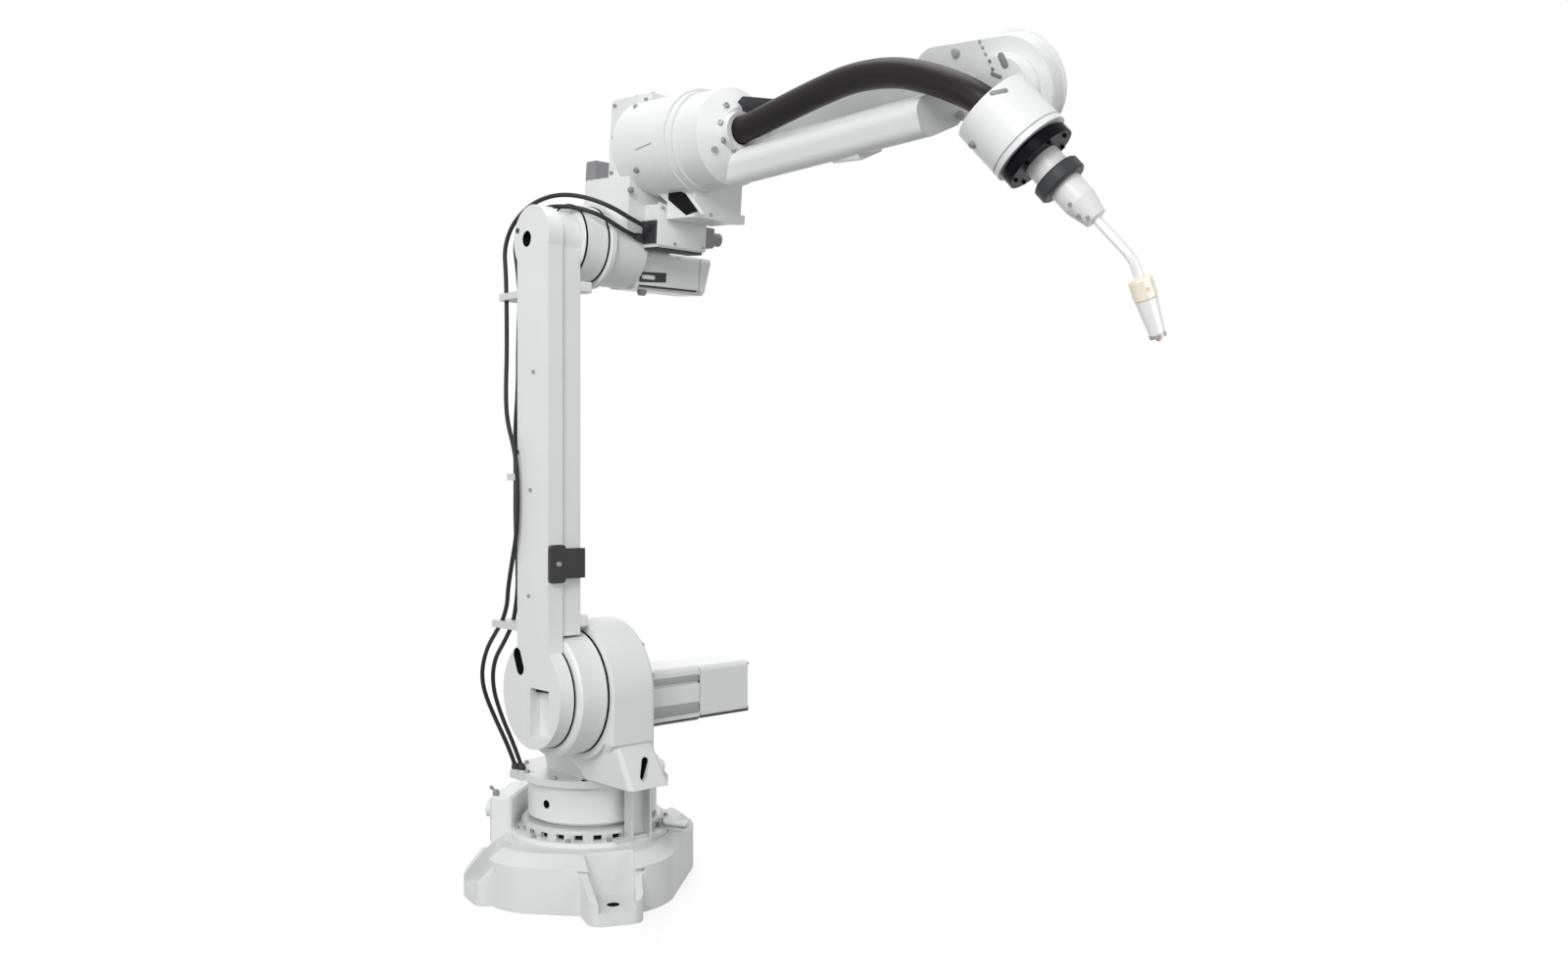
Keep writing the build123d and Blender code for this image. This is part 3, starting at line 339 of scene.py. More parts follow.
neck_steel = finish("neck steel", (0.84, 0.84, 0.85), 0.34, grain_scale=200, bump=0.0, drift=0.02,
                    uneven=0.05, metallic=0.55, wear=0.0, soften=0.0001, dusty=0.0)
pale_brass = finish("pale brass", (0.93, 0.85, 0.70), 0.36, grain_scale=200, bump=0.0, drift=0.1,
                    metallic=0.35, wear=0.0, soften=0.0001, dusty=0.0)
nozzle_plating = finish("nozzle plating", (0.86, 0.86, 0.86), 0.36, grain_scale=200, bump=0.0, drift=0.02,
                        metallic=0.45, wear=0.0, soften=0.0001, dusty=0.0)
pale_steel = finish("pale steel", (0.66, 0.67, 0.67), 0.38, grain_scale=900, bump=0.08, metallic=0.3,
                    worn=(0.8, 0.8, 0.8))
copper = finish("copper", (0.50, 0.30, 0.2), 0.4, grain_scale=300, bump=0.02, metallic=0.8, soften=0.0001,
                dusty=0.0)
deep_shadow = finish("deep shadow", (0.012, 0.012, 0.013), 0.7, bump=0.1, wear=0.0, dusty=0.0, specular=0.05)
print("materials:", len(bpy.data.materials))

# %% [markdown]
# Each CAD node is given the finish of its material slot. The large castings take the coarser paint.

# %% Finishes on the CAD nodes
SLOT_FINISH = {
    "white_paint": smooth_paint,
    "cable_sheath": cable_jacket,
    "hose_rubber": hose_skin,
    "pad_rubber": pad_rubber,
    "clamp_plastic": clamp_plastic,
    "dark_plastic": dark_plastic,
    "dark_steel": dark_steel,
    "black_anodised": black_anodised,
    "torch_plastic": torch_plastic,
    "neck_steel": neck_steel,
    "brass_ring": pale_brass,
    "nozzle_plating": nozzle_plating,
    "copper_tip": copper,
}
CASTINGS = ("base_casting", "turret_casting", "lower_arm_casting", "elbow_housing", "forearm_casting",
            "tilt_housing")
OWN_FINISH = {name: cast_paint for name in CASTINGS}
OWN_FINISH.update(connector_block=grey_plastic, connector_plug=grey_plastic, cable_gland=clamp_plastic,
                  stop_bracket=pale_steel, base_ring=pale_steel)
for part in frame["record"]["subparts"]:
    node = frame["nodes"][part["node"]]
    node.data.materials.clear()
    node.data.materials.append(OWN_FINISH.get(part["node"], SLOT_FINISH[part["material_slot"]]))

# %% [markdown]
# ## Cables and hose
# A cable that is clamped at both ends hangs in one smooth curve. A NURBS curve gives that: the points of
# the CAD route pull the line towards them without corners. Order and endpoints are set after the points.

# %% A helper for tubes along a smooth route


def link_mesh(name, mesh, material):
    """New object for a finished mesh, shaded smooth except at real corners."""
    mesh.materials.clear()
    mesh.materials.append(material)
    mesh.shade_smooth()
    mesh.set_sharp_from_angle(angle=math.radians(34))
    made = bpy.data.objects.new(name, mesh)
    bpy.context.scene.collection.objects.link(made)
    return made


def tube_mesh(points, diameter, sides=4, steps=8):
    """Mesh of a round tube along a NURBS line with these control points, in mm."""
    curve = bpy.data.curves.new("route", "CURVE")
    curve.dimensions = "3D"
    spline = curve.splines.new("NURBS")
    spline.points.add(len(points) - 1)
    for target, point in zip(spline.points, points):
        target.co = (*(Vector(point) * MM), 1)
    spline.order_u = 3
    spline.use_endpoint_u = True
    spline.resolution_u = steps
    curve.bevel_depth = diameter * MM / 2
    curve.bevel_resolution = sides
    curve.use_fill_caps = True
    carrier = bpy.data.objects.new("route", curve)
    mesh = bpy.data.meshes.new_from_object(carrier)
    bpy.data.objects.remove(carrier)
    bpy.data.curves.remove(curve)
    return mesh


def joined(meshes):
    """One mesh from several, with doubles merged."""
    work = bmesh.new()
    for mesh in meshes:
        work.from_mesh(mesh)
    bmesh.ops.remove_doubles(work, verts=work.verts, dist=1e-6)
    whole = bpy.data.meshes.new("joined")
    work.to_mesh(whole)
    work.free()
    return whole


# %% The routes
left_shoulder_route = (
    (-62, -153, 252), (-68, -165, 293), (-93, -184, 355), (-107, -205, 417),
    (-104, -212, 462), (-75, -217, 510), (-34, -222, 545), (0, -225, 572),
)
right_shoulder_route = (
    (-44, -148, 252), (-55, -160, 300), (-80, -179, 366), (-87, -196, 430),
    (-63, -206, 488), (-14, -207, 535), (16, -207, 572),
)
face_route = (
    (1, -225, 573), (32, -230, 606), (62, -245, 650), (90, -253, 700), (112, -254, 765), (116, -254, 849),
    (106, -254, 924), (70, -252, 986), (44, -240, 1047), (36, -232, 1135), (30, -230, 1240),
)
edge_route = (
    (17, -207, 573), (38, -209, 625), (44, -212, 690), (38, -214, 780), (41, -215, 874),
    (35, -213, 970), (42, -210, 1060), (38, -208, 1150), (44, -207, 1240),
)
outer_elbow_route = (
    (30, -230, 1241), (26, -229, 1292), (14, -226, 1340), (30, -220, 1385),
    (68, -212, 1415), (110, -204, 1430), (155, -192, 1436), (196, -174, 1432),
    (232, -150, 1420), (258, -118, 1402), (264, -84, 1385), (258, -50, 1378),
)
inner_elbow_route = (
    (44, -207, 1241), (40, -210, 1300), (32, -213, 1350), (52, -210, 1388),
    (90, -204, 1407), (130, -198, 1414), (172, -186, 1412), (210, -166, 1404),
    (236, -138, 1390), (244, -104, 1372), (240, -74, 1362), (236, -46, 1358),
)
hose_route = (
    (512, -20, 1523), (552, -20, 1526), (634, -20, 1537), (734, -20, 1550), (825, -21, 1557),
    (922, -19, 1545), (1005, -13, 1513), (1070, -5, 1478), (1102, 8, 1450), (1123, 20, 1422),
)

# %% The cables and the hose
CABLE, HOSE = 9, 50


def cable_run(name, node, routes, diameter, material, sides=4):
    """Smooth tubes that stand for a CAD node's plain ones."""
    made = link_mesh(name, joined([tube_mesh(route, diameter, sides) for route in routes]), material)
    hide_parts(node)
    print(name, "has", len(made.data.polygons), "faces")
    return made


low_run = cable_run("shoulder_cable_pair", "shoulder_cables", (left_shoulder_route, right_shoulder_route),
                    CABLE, cable_jacket)
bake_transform(low_run)
arm_run = cable_run("arm_cable_pair", "arm_cables", (face_route, edge_route),
                    CABLE, cable_jacket)
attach(arm_run, "lower_arm")
high_run = cable_run("elbow_cable_pair", "elbow_cables", (outer_elbow_route, inner_elbow_route),
                     CABLE, cable_jacket)
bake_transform(high_run)
hose = cable_run("hose", "process_hose", (hose_route,), HOSE, hose_skin, sides=12)
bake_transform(hose)

# %% [markdown]
# ## Shapes for small parts
# Most small parts are turned or moulded, so two helpers do nearly all of them: a lathe that turns a profile
# round an axis, and a block with rounded edges.

# %% Helpers for turned and moulded parts


def mesh_from(work, name):
    """Mesh of a bmesh whose faces all point outwards."""
    bmesh.ops.recalc_face_normals(work, faces=work.faces)
    mesh = bpy.data.meshes.new(name)
    work.to_mesh(mesh)
    work.free()
    return mesh


def turned(profile, segments=32):
    """Mesh made by turning (radius, height) points round Z, in mm, closed at both ends."""
    work = bmesh.new()
    rings = []
    for radius, height in profile:
        if radius < 1e-6:
            rings.append([work.verts.new((0, 0, height))])
        else:
            rings.append([work.verts.new((x, y, height)) for x, y in ring_of(segments, radius)])
    for low, high in zip(rings, rings[1:]):
        for k in range(segments):
            n = (k + 1) % segments
            if len(low) == 1 and len(high) > 1:
                work.faces.new((low[0], high[n], high[k]))
            elif len(high) == 1 and len(low) > 1:
                work.faces.new((low[k], low[n], high[0]))
            elif len(low) > 1:
                work.faces.new((low[k], low[n], high[n], high[k]))
    for ends, flip in ((rings[0], True), (rings[-1], False)):
        if len(ends) > 1:
            work.faces.new(list(reversed(ends)) if flip else ends)
    return mesh_from(work, "turned")


def block(length, width, height, round_by=1.0):
    """Mesh of a block on Z = 0 with rounded edges, in mm."""
    work = bmesh.new()
    bmesh.ops.create_cube(work, size=1)
    bmesh.ops.scale(work, vec=(length, width, height), verts=work.verts)
    bmesh.ops.translate(work, vec=(0, 0, height / 2), verts=work.verts)
    bmesh.ops.bevel(work, geom=work.edges, offset=round_by, segments=3, profile=0.5, affect="EDGES")
    return mesh_from(work, "block")


def put(mesh, origin, z_dir, x_dir=None):
    """Moves a mesh drawn in mm to its place and turns it into metres."""
    mesh.transform(Matrix.Scale(MM, 4) @ placed(origin, z_dir, x_dir))
    return mesh


def piece(name, meshes, material, body):
    """One finished piece on a body, from one mesh or several."""
    whole = joined(meshes) if len(meshes) > 1 else meshes[0]
    made = link_mesh(name, whole, material)
    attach(made, body)
    return made


# %% [markdown]
# ## Screws by Geometry Nodes
# The arm is held together by dozens of socket head screws. One node tree makes the head: a cylinder with a
# six-sided socket cut out by a Boolean, on a thin washer. The tree places a copy on each point, turned to
# that point's own direction and scaled to its size, and makes the copies real so that they can be exported.

# %% The screw tree
screws = bpy.data.node_groups.new("socket screws", "GeometryNodeTree")
screws.interface.new_socket("Geometry", in_out="INPUT", socket_type="NodeSocketGeometry")
for label, default in (("Head Radius", 1.0), ("Head Height", 1.0), ("Socket Radius", 0.55),
                       ("Socket Depth", 0.6), ("Washer Radius", 1.25), ("Washer Height", 0.2)):
    made = screws.interface.new_socket(label, in_out="INPUT", socket_type="NodeSocketFloat")
    made.default_value = default
screws.interface.new_socket("Material", in_out="INPUT", socket_type="NodeSocketMaterial")
screws.interface.new_socket("Geometry", in_out="OUTPUT", socket_type="NodeSocketGeometry")
screw_in = screws.nodes.new("NodeGroupInput").outputs
screw_out = screws.nodes.new("NodeGroupOutput").inputs


def node_cylinder(sides, radius, depth, bottom):
    """Cylinder in the screw tree that starts at the height given by bottom."""
    made_cylinder = wire(screws, "GeometryNodeMeshCylinder", Vertices=sides, Radius=radius, Depth=depth)
    lift = wire(screws, "ShaderNodeCombineXYZ")
    half = math_node(screws, "MULTIPLY", depth, 0.5)
    screws.links.new(math_node(screws, "ADD", half, bottom), lift.inputs["Z"])
    moved = wire(screws, "GeometryNodeTransform", Geometry=made_cylinder.outputs["Mesh"],
                 Translation=lift.outputs["Vector"])
    return moved.outputs["Geometry"]


head = node_cylinder(16, screw_in["Head Radius"], screw_in["Head Height"], screw_in["Washer Height"])
socket_bottom = math_node(screws, "SUBTRACT", math_node(screws, "ADD", screw_in["Head Height"],
                          screw_in["Washer Height"]), screw_in["Socket Depth"])
socket_cut = node_cylinder(6, screw_in["Socket Radius"], screw_in["Head Height"], socket_bottom)
washer = node_cylinder(20, screw_in["Washer Radius"], screw_in["Washer Height"], 0.0)
cutting = screws.nodes.new("GeometryNodeMeshBoolean")
cutting.operation = "DIFFERENCE"
screws.links.new(head, cutting.inputs["Mesh 1"])
screws.links.new(socket_cut, cutting.inputs["Mesh 2"])
whole_screw = screws.nodes.new("GeometryNodeJoinGeometry")
screws.links.new(cutting.outputs["Mesh"], whole_screw.inputs[0])
screws.links.new(washer, whole_screw.inputs[0])
direction = wire(screws, "GeometryNodeInputNamedAttribute", Name="direction")
direction.data_type = "FLOAT_VECTOR"
size = wire(screws, "GeometryNodeInputNamedAttribute", Name="size")
size.data_type = "FLOAT"
upright = wire(screws, "FunctionNodeAlignRotationToVector", Vector=direction.outputs["Attribute"])
upright.axis = "Z"
copies = wire(screws, "GeometryNodeInstanceOnPoints", Points=screw_in["Geometry"],
              Instance=whole_screw.outputs["Geometry"], Rotation=upright.outputs["Rotation"],
              Scale=size.outputs["Attribute"])
real = wire(screws, "GeometryNodeRealizeInstances", Geometry=copies.outputs["Instances"])
painted = wire(screws, "GeometryNodeSetMaterial", Geometry=real.outputs["Geometry"],
               Material=screw_in["Material"])
screws.links.new(painted.outputs["Geometry"], screw_out["Geometry"])
print("screw tree:", len(screws.nodes), "nodes")

# %% Screws on points


def screw_set(name, places, material, body, washer=1.25):
    """Real screws at places, a list of (point, direction, head radius) in mm."""
    cloud = bpy.data.meshes.new(name)
    cloud.from_pydata([Vector(point) * MM for point, _, _ in places], [], [])
    cloud.attributes.new("direction", "FLOAT_VECTOR", "POINT")
    cloud.attributes.new("size", "FLOAT", "POINT")
    for k, (_, way, radius) in enumerate(places):
        cloud.attributes["direction"].data[k].vector = Vector(way).normalized()
        cloud.attributes["size"].data[k].value = radius * MM
    carrier = bpy.data.objects.new(name + "_points", cloud)
    bpy.context.scene.collection.objects.link(carrier)
    modifier = carrier.modifiers.new("screws", "NODES")
    modifier.node_group = screws
    names = {item.name: item.identifier for item in screws.interface.items_tree if item.in_out == "INPUT"}
    modifier[names["Material"]] = material
    modifier[names["Washer Radius"]] = washer
    evaluated = carrier.evaluated_get(bpy.context.evaluated_depsgraph_get())
    mesh = bpy.data.meshes.new_from_object(evaluated)
    bpy.data.objects.remove(carrier)
    made = piece(name, [mesh], material, body)
    print(name, "holds", len(places), "screws and", len(mesh.polygons), "faces")
    return made


# %% [markdown]
# ## Where the screws are
# A ring of screws closes each joint and each cover. The rings are worked out from the axis they sit round.

# %% Screws of the base and the turret
deck_z, plate_z = 124, 247.5
swing_motor_x, swing_motor_y = -66, 74
deck_screws = [((x, y, deck_z), up, 4.5) for x, y in ring_of(12, 163, 8)]
screw_set("base_screws", deck_screws, dark_steel, "base")

plate_screws = [((x, y, plate_z), up, 5) for x, y in ring_of(10, 148, 150) if x < 100]
lug_screws = [((x, y, plate_z), up, 5) for x, y in ((176, -30), (176, 58))]
swing_screws = [((swing_motor_x + x, swing_motor_y + y, 259.5), up, 4) for x, y in ring_of(4, 60, 45)]
shoulder_screws = [((axis_x + x, -46, shoulder_z + y), across, 5)
                   for x, y in ring_of(12, 128, 15) if y > -30]
motor_screws = [((axis_x + x, 270, 415 + y), across, 3.2) for x in (-48, 48) for y in (-48, 48)]
screw_set("turret_screws", plate_screws + lug_screws + swing_screws + shoulder_screws + motor_screws,
          dark_steel, "turret")

# %% Screws of the lower arm and the elbow
arm_face_y = -245
arm_screws = [((x, arm_face_y, z), left, radius)
              for x, z, radius in ((161, 1081, 3.2), (150, 849, 3.2), (143, 640, 3.2), (98, 924, 2.4))]
pad_screw = [((223, -228, 706), front, 4)]
screw_set("arm_screws", arm_screws + pad_screw, dark_steel, "lower_arm")

box_screws = [(on_elbow(128.4, y, b), forearm_dir, 2.6) for y, b in ((-24, 80), (72, 66), (10, 12), (84, 12))]
barrel_screws = [(on_elbow(87, y, b), forearm_dir, 4) for y, b in ((-20, 292), (84, 292))]
motor_end = [(on_elbow(x, 168, y), across, 3) for x, y in ((-42, -12), (42, -12))]
top_screws = [(on_elbow(a, y, 310), forearm_up, 3.6) for a in (22, 76) for y in (-24, 34, 90)]
side_screws = [(on_elbow(a, -36, b), -across, 3.6) for a in (-38, 72) for b in (160, 232, 298)]
cap_screws = [((249, -64, 1615), (0.06, -0.68, 0.73), 4.5), ((378, 24, 1392), forearm_dir, 3)]
screw_set("elbow_screws", box_screws + barrel_screws + motor_end + top_screws + side_screws + cap_screws,
          dark_steel, "elbow")

# %% Screws of the forearm, the wrist and the tool
hose_ring = [((505, -41, 1569), (0.81, -0.43, 0.40), 5), ((507, -57, 1535), (0.78, -0.61, 0.08), 4.5),
             ((508, -50, 1503), (1, 0, -0.09), 5), ((494, -60, 1487), (0.75, -0.58, -0.32), 5),
             ((507, -23, 1487), (1, 0, -0.09), 5)]
cover_ring = [(on_wrist(x, y, 106), tilt_axis, 3.4) for x, y in ring_of(10, 74, 12)]
pod_ring = [(on_wrist(-142 + x, -28 + y, 92), tilt_axis, 3) for x, y in ring_of(6, 46, 100) if x < 20]
screw_set("forearm_screws", hose_ring + cover_ring + pod_ring, dark_steel, "forearm")
disc_ring = [(on_tool(x, y, 134.5), tool_axis, 3) for x, y in ring_of(7, 50, 10)]
torch_set = [((1216, 48, 1291), (0.11, -0.94, -0.33), 3), ((1223, 60, 1274), (0.02, -0.77, -0.64), 3),
             ((1236, 65, 1270), (0.33, -0.84, -0.43), 3)]
screw_set("disc_screws", disc_ring, black_anodised, "tool")
screw_set("torch_screws", torch_set, dark_steel, "tool", washer=1.1)

# %% [markdown]
# ## Plates, linings and bands
# Covers, pads and lugs are cut from plate or cast on, so one helper raises an outline to a plate with
# softened edges. A blind hole is dark because little light gets in, and a thin dark shell just inside it
# paints that shade in any light. A band follows the ring-shaped gap between two parts that turn on each
# other, and in a dark finish it paints the shade that falls into that gap.

# %% Helpers for plates, linings and bands


def rectangle(x0, y0, x1, y1):
    """Outline of a rectangle from one corner to the opposite one."""
    return (x0, y0), (x1, y0), (x1, y1), (x0, y1)


def plate(outline, thickness, round_by=0.8):
    """Plate over an outline on Z = 0, with softened edges, in mm."""
    work = bmesh.new()
    face = work.faces.new([work.verts.new((x, y, 0)) for x, y in outline])
    raised = bmesh.ops.extrude_face_region(work, geom=[face])["geom"]
    moved = [item for item in raised if isinstance(item, bmesh.types.BMVert)]
    bmesh.ops.translate(work, vec=(0, 0, thickness), verts=moved)
    bmesh.ops.recalc_face_normals(work, faces=work.faces)
    bmesh.ops.bevel(work, geom=work.edges, offset=min(round_by, thickness / 3), segments=2, profile=0.5,
                    affect="EDGES")
    return mesh_from(work, "plate")


def oval(length, width, turn=0.0, steps=20):
    """Outline of a slot with round ends, turned by an angle in degrees."""
    outline = []
    for x, y in ring_of(steps, width / 2, 180 / steps):
        long_x = x + math.copysign((length - width) / 2, x)
        c, s = math.cos(math.radians(turn)), math.sin(math.radians(turn))
        outline.append((long_x * c - y * s, long_x * s + y * c))
    return outline


def lining(outline, depth, wall=0.6):
    """Thin open cup that fits inside a blind hole with this outline, drawn from its mouth at Z = 0 down."""
    work = bmesh.new()
    rings = []
    for inset, height in ((0.2, 0.2 - depth), (0.2, -0.4), (0.2 + wall, -0.4), (0.2 + wall, wall - depth)):
        drawn_in = [Vector(p) * (1 - inset / Vector(p).length) for p in outline]
        rings.append([work.verts.new((*point, height)) for point in drawn_in])
    for low, high in zip(rings, rings[1:]):
        for k in range(len(outline)):
            n = (k + 1) % len(outline)
            work.faces.new((low[k], low[n], high[n], high[k]))
    work.faces.new(rings[0])
    work.faces.new(rings[-1])
    return mesh_from(work, "lining")


def band(inner, outer, width, start=0.0, end=360.0, steps=64):
    """Flat-sided band round Z, from Z = 0 up to its width, whole or over an arc."""
    work = bmesh.new()
    whole = end - start >= 360
    rows = []
    for k in range(steps if whole else steps + 1):
        t = math.radians(start + (end - start) * k / steps)
        corners = ((inner, 0), (outer, 0), (outer, width), (inner, width))
        rows.append([work.verts.new((r * math.cos(t), r * math.sin(t), z)) for r, z in corners])
    for first, second in zip(rows, rows[1:] + ([rows[0]] if whole else [])):
        for k in range(4):
            n = (k + 1) % 4
            work.faces.new((first[k], first[n], second[n], second[k]))
    if not whole:
        work.faces.new(rows[0])
        work.faces.new(rows[-1])
    return mesh_from(work, "band")


print("a lining has", len(lining(oval(30, 12), 10).polygons), "faces")

# %% [markdown]
# ## Painted shade in holes and gaps
# The castings have blind holes for lifting and for cores, and ring-shaped gaps where one part turns on the
# next, and both lie in shade. Each gets its own dark lining or band of painted shade, a little inside the
# hole that the CAD model has.

# %% Painted shade in the base, the turret and the lower arm
base_turn, bolt_setback = 41, 50
foot_angles, foot_reaches = (-66, 66, 141, -141), (312, 312, 276, 276)
bolt_places = [(math.radians(base_turn + angle), reach - bolt_setback)
               for angle, reach in zip(foot_angles, foot_reaches)]
# Painted shade: a dark tube inside the bolt hole of each foot.
piece("bolt_hole_shade", [put(band(12.0, 12.8, 25, steps=24), (r * math.cos(t), r * math.sin(t), 0.5), up)
                            for t, r in bolt_places], deep_shadow, "base")
# Painted shade: a dark arc at the back of each screw pocket round the deck.
pocket_count, pocket_half_angle = 24, 2.9
pocket_shade_arcs = []
for k in range(pocket_count):
    middle_angle = 360 / pocket_count * k
    shade_arc = band(143.1, 144.6, 9.5, middle_angle - pocket_half_angle, middle_angle + pocket_half_angle, steps=3)
    pocket_shade_arcs.append(put(shade_arc, (0, 0, 124.8), up, front))
piece("ring_pocket_shade", pocket_shade_arcs, deep_shadow, "base")
drum_hole_angle, plate_hole_angle, plate_hole_reach = math.radians(-78), math.radians(-39), 143
drum_way = Vector((math.cos(drum_hole_angle), math.sin(drum_hole_angle), 0))
plate_hole = (plate_hole_reach * math.cos(plate_hole_angle), plate_hole_reach * math.sin(plate_hole_angle),
              plate_z)
# Painted shade: dark cups in the drum hole, the plate hole and the flank slot, and a dark band in the gap
# round the gear ring.
turret_shade_linings = [
    put(lining(ring_of(24, 9), 20), drum_way * 137.6 + Vector((0, 0, 189.5)), drum_way),
    put(lining(ring_of(24, 11), 15), plate_hole, up),
    put(lining(oval(46, 17, 71), 15.2), (294.4, -81, 300.5), front, across),
    put(band(124.9, 126.2, 4), (axis_x, -145.5, shoulder_z), left, front),
]
piece("turret_shade_linings", turret_shade_linings, deep_shadow, "turret")
# Painted shade: dark cups in the lifting hole and the oval hole, dark bands in the gaps round the hub and
# along the gear ring, and a dark strip under the top wall of the hub recess.
arm_shade_linings = [
    put(lining(ring_of(32, 16), 30), (133.75, arm_face_y, 1345), left, front),
    put(lining(oval(56, 28, 115), 30), (103, arm_face_y, 507), left, front),
    put(band(105.4, 107, 3), (axis_x, -211.2, shoulder_z), left, front),
    put(band(128.6, 129.5, 42, 66, 109), (axis_x, -168, shoulder_z), left, front),
    put(plate(((149, 459.6), (213.5, 459.6), (211, 455), (152, 451)), 12), (0, -223, 0), left, front),
]
piece("arm_shade_linings", arm_shade_linings, deep_shadow, "lower_arm")

# %% Painted shade in the gaps of the elbow and in the forearm's pocket
# Painted shade: dark bands in the two ring-shaped gaps of the elbow joint.
elbow_gap_shade = [
    put(band(75.8, 77.2, 3.5), elbow_axis + across * -110.6, left, front),
    put(band(75.6, 76.6, 4), elbow_axis + across * -162, left, front),
]
piece("elbow_gap_shade", elbow_gap_shade, deep_shadow, "elbow")
# Painted shade: a dark cup inside the pocket of the forearm's beam.
beam_pocket_shade = put(lining(oval(32, 22), 12), on_forearm(768, -19, -16), -tilt_axis, forearm_dir)
piece("beam_pocket_shade_lining", [beam_pocket_shade], deep_shadow, "forearm")

# %% [markdown]
# ## Base and turret
# The base carries two plates that stop the swing, and the connector housing a small lever. The two cables of
# the arm come out of gland nuts. Grey strips run along the side of the shoulder motor. Dark strips paint the
# shade under the lower edges of the motor and its cover, and a dark strip marks the seam between them.

# %% Parts of the base
stop_outline = ((116, 102), (150, 80), (196, 102), (164, 140))
piece("swing_stop_plates", [put(plate(stop_outline, 3.5), (0, 0, z), up, front) for z in (123.8, 133)]
      + [put(block(24, 20, 21, 1), (156, 106, 113.5), up, (1, 0.5, 0))], smooth_paint, "base")
lever_foot = ((0, 0), (7, 0), (7, 9), (5, 12), (0, 12.5))
lever_rod = ((0, 0), (2.4, 0), (2.4, 16), (4, 18), (4, 24), (0, 25.5))
lever = [put(turned(lever_foot), (-110, -174, 190), up),
         put(turned(lever_rod), (-110, -174, 198), (-0.97, 0.05, 0.2))]
piece("housing_lever", lever, grey_plastic, "base")

# %% Parts of the turret
nut_profile = ((0, 0), (8.5, 0), (8.5, 8), (6, 13), (0, 13))
glands = [put(turned(nut_profile, 12), (-62, -153, 251), (-0.14, -0.28, 0.95)),
          put(turned(nut_profile, 12), (-44, -148, 251), (-0.22, -0.24, 0.95))]
piece("gland_nuts", glands, dark_plastic, "turret")
strips = [put(plate(rectangle(2, low_z, 128, high_z), 1.2), (208.6, 0, 0), front, across)
          for low_z, high_z in ((442, 456), (374, 398))]
piece("motor_strips", strips, mid_grey_paint, "turret")
# Painted shade: dark strips along the lower edges of the motor and its cover. The upright strip between them
# marks the seam of the cover.
seam_and_shade = [put(plate(rectangle(132, 361, 268, 366), 1.5), (205.6, 0, 0), front, across),
          put(plate(rectangle(128, 362, 132, 468), 1.5), (205.8, 0, 0), front, across),
          put(plate(rectangle(4, 361, 128, 365), 1.5), (208, 0, 0), front, across)]
piece("motor_seam_and_shade", seam_and_shade, dark_plastic, "turret")

# %% [markdown]
# ## Lower arm and elbow
# Cable ties hold the run on the arm's face. The elbow carries the terminal box with its cover and plugs, the
# motor with its bosses and a dark plate of painted shade for its recess, and a dark plate of painted shade
# between the box and the wrist motor's housing. A dark band under the box paints the shade beneath it.

# %% Parts of the lower arm
ties = [put(block(9, 6, 5, 1), (102, -244.6, z), left, up) for z in (924, 1365)]
piece("cable_ties", ties, dark_plastic, "lower_arm")

# %% Cover, plugs and painted shade of the terminal box


def facing_forward(mesh, a):
    """Puts a flat mesh on a face of the elbow that looks along the forearm, a in front of the elbow axis."""
    return put(mesh, on_elbow(a, 0, 0), forearm_dir, across)


cover = facing_forward(plate(((-33, 90), (90, 71), (91, 4), (-33, 6)), 3.5), 124.9)
piece("terminal_cover", [cover], smooth_paint, "elbow")
plugs_and_shade = [put(block(47, 46, 6, 1.5), on_elbow(101, -29.5, 32), left, forearm_dir)]
boot_profile = ((0, 0), (8.5, 0), (8.5, 16), (6, 24), (0, 24))
for (x, _, z), way in ((outer_elbow_route[-1], (6, -34, 7)), (inner_elbow_route[-1], (4, -28, 4))):
    plugs_and_shade.append(put(turned(boot_profile, 16), (x - 2, -33, z - 2), way))
# Painted shade: a dark band under the terminal box stands for the shade beneath it.
plugs_and_shade.append(facing_forward(plate(rectangle(-29, 2.5, 86, -3), 44), 79))
piece("terminal_plugs_and_shade", plugs_and_shade, dark_plastic, "elbow")
# Painted shade: a dark plate on the near side face of the lower box, with a light rib laid over it.
shade_plate_face = on_elbow(0, -15.6, 0)
shade_plate_outline = ((134, 122), (166, 126), (234, 68), (197, 62), (136, 96))
shade_plate = put(plate(shade_plate_outline, 1.6), shade_plate_face, left, forearm_dir)
piece("dark_shade_plate", [shade_plate], deep_shadow, "elbow")
rib = put(plate(((168, 129), (176, 131), (256, 62), (250, 58)), 4), shade_plate_face, left, forearm_dir)
piece("shield_rib", [rib], smooth_paint, "elbow")

# %% Details of the elbow motor
motor_face = 51.8
boss_profile = ((0, 0), (4.5, 0), (4.5, 2.5), (3.5, 3.4), (0, 3.4))
bosses = [put(turned(boss_profile, 20), on_elbow(51.6, y, b), forearm_dir) for y, b in ((10, -10), (82, -8))]
bar = facing_forward(plate(((-12, -24), (30, -22), (30, -28), (-12, -30)), 2.4), motor_face)
pill = facing_forward(plate([(x + 4, y - 54) for x, y in oval(34, 9)], 1.6), 52.6)
piece("motor_bosses", bosses + [bar, pill], smooth_paint, "elbow")
# Painted shade: dark plates on the motor's face for the shade in its recess and in a groove along its lower
# edge.
recess_shade = [facing_forward(plate(outline, 1.2), motor_face)
          for outline in (((-18, -45), (50, -41), (50, -61), (-18, -66)),
                          ((-18, -71), (132, -70), (132, -74), (-18, -76)))]
piece("motor_recess_shade", recess_shade, dark_plastic, "elbow")
cap_line = facing_forward(plate(rectangle(137, -3, 139, -76), 1), motor_face)
piece("motor_cap_line", [cap_line], mid_grey_paint, "elbow")

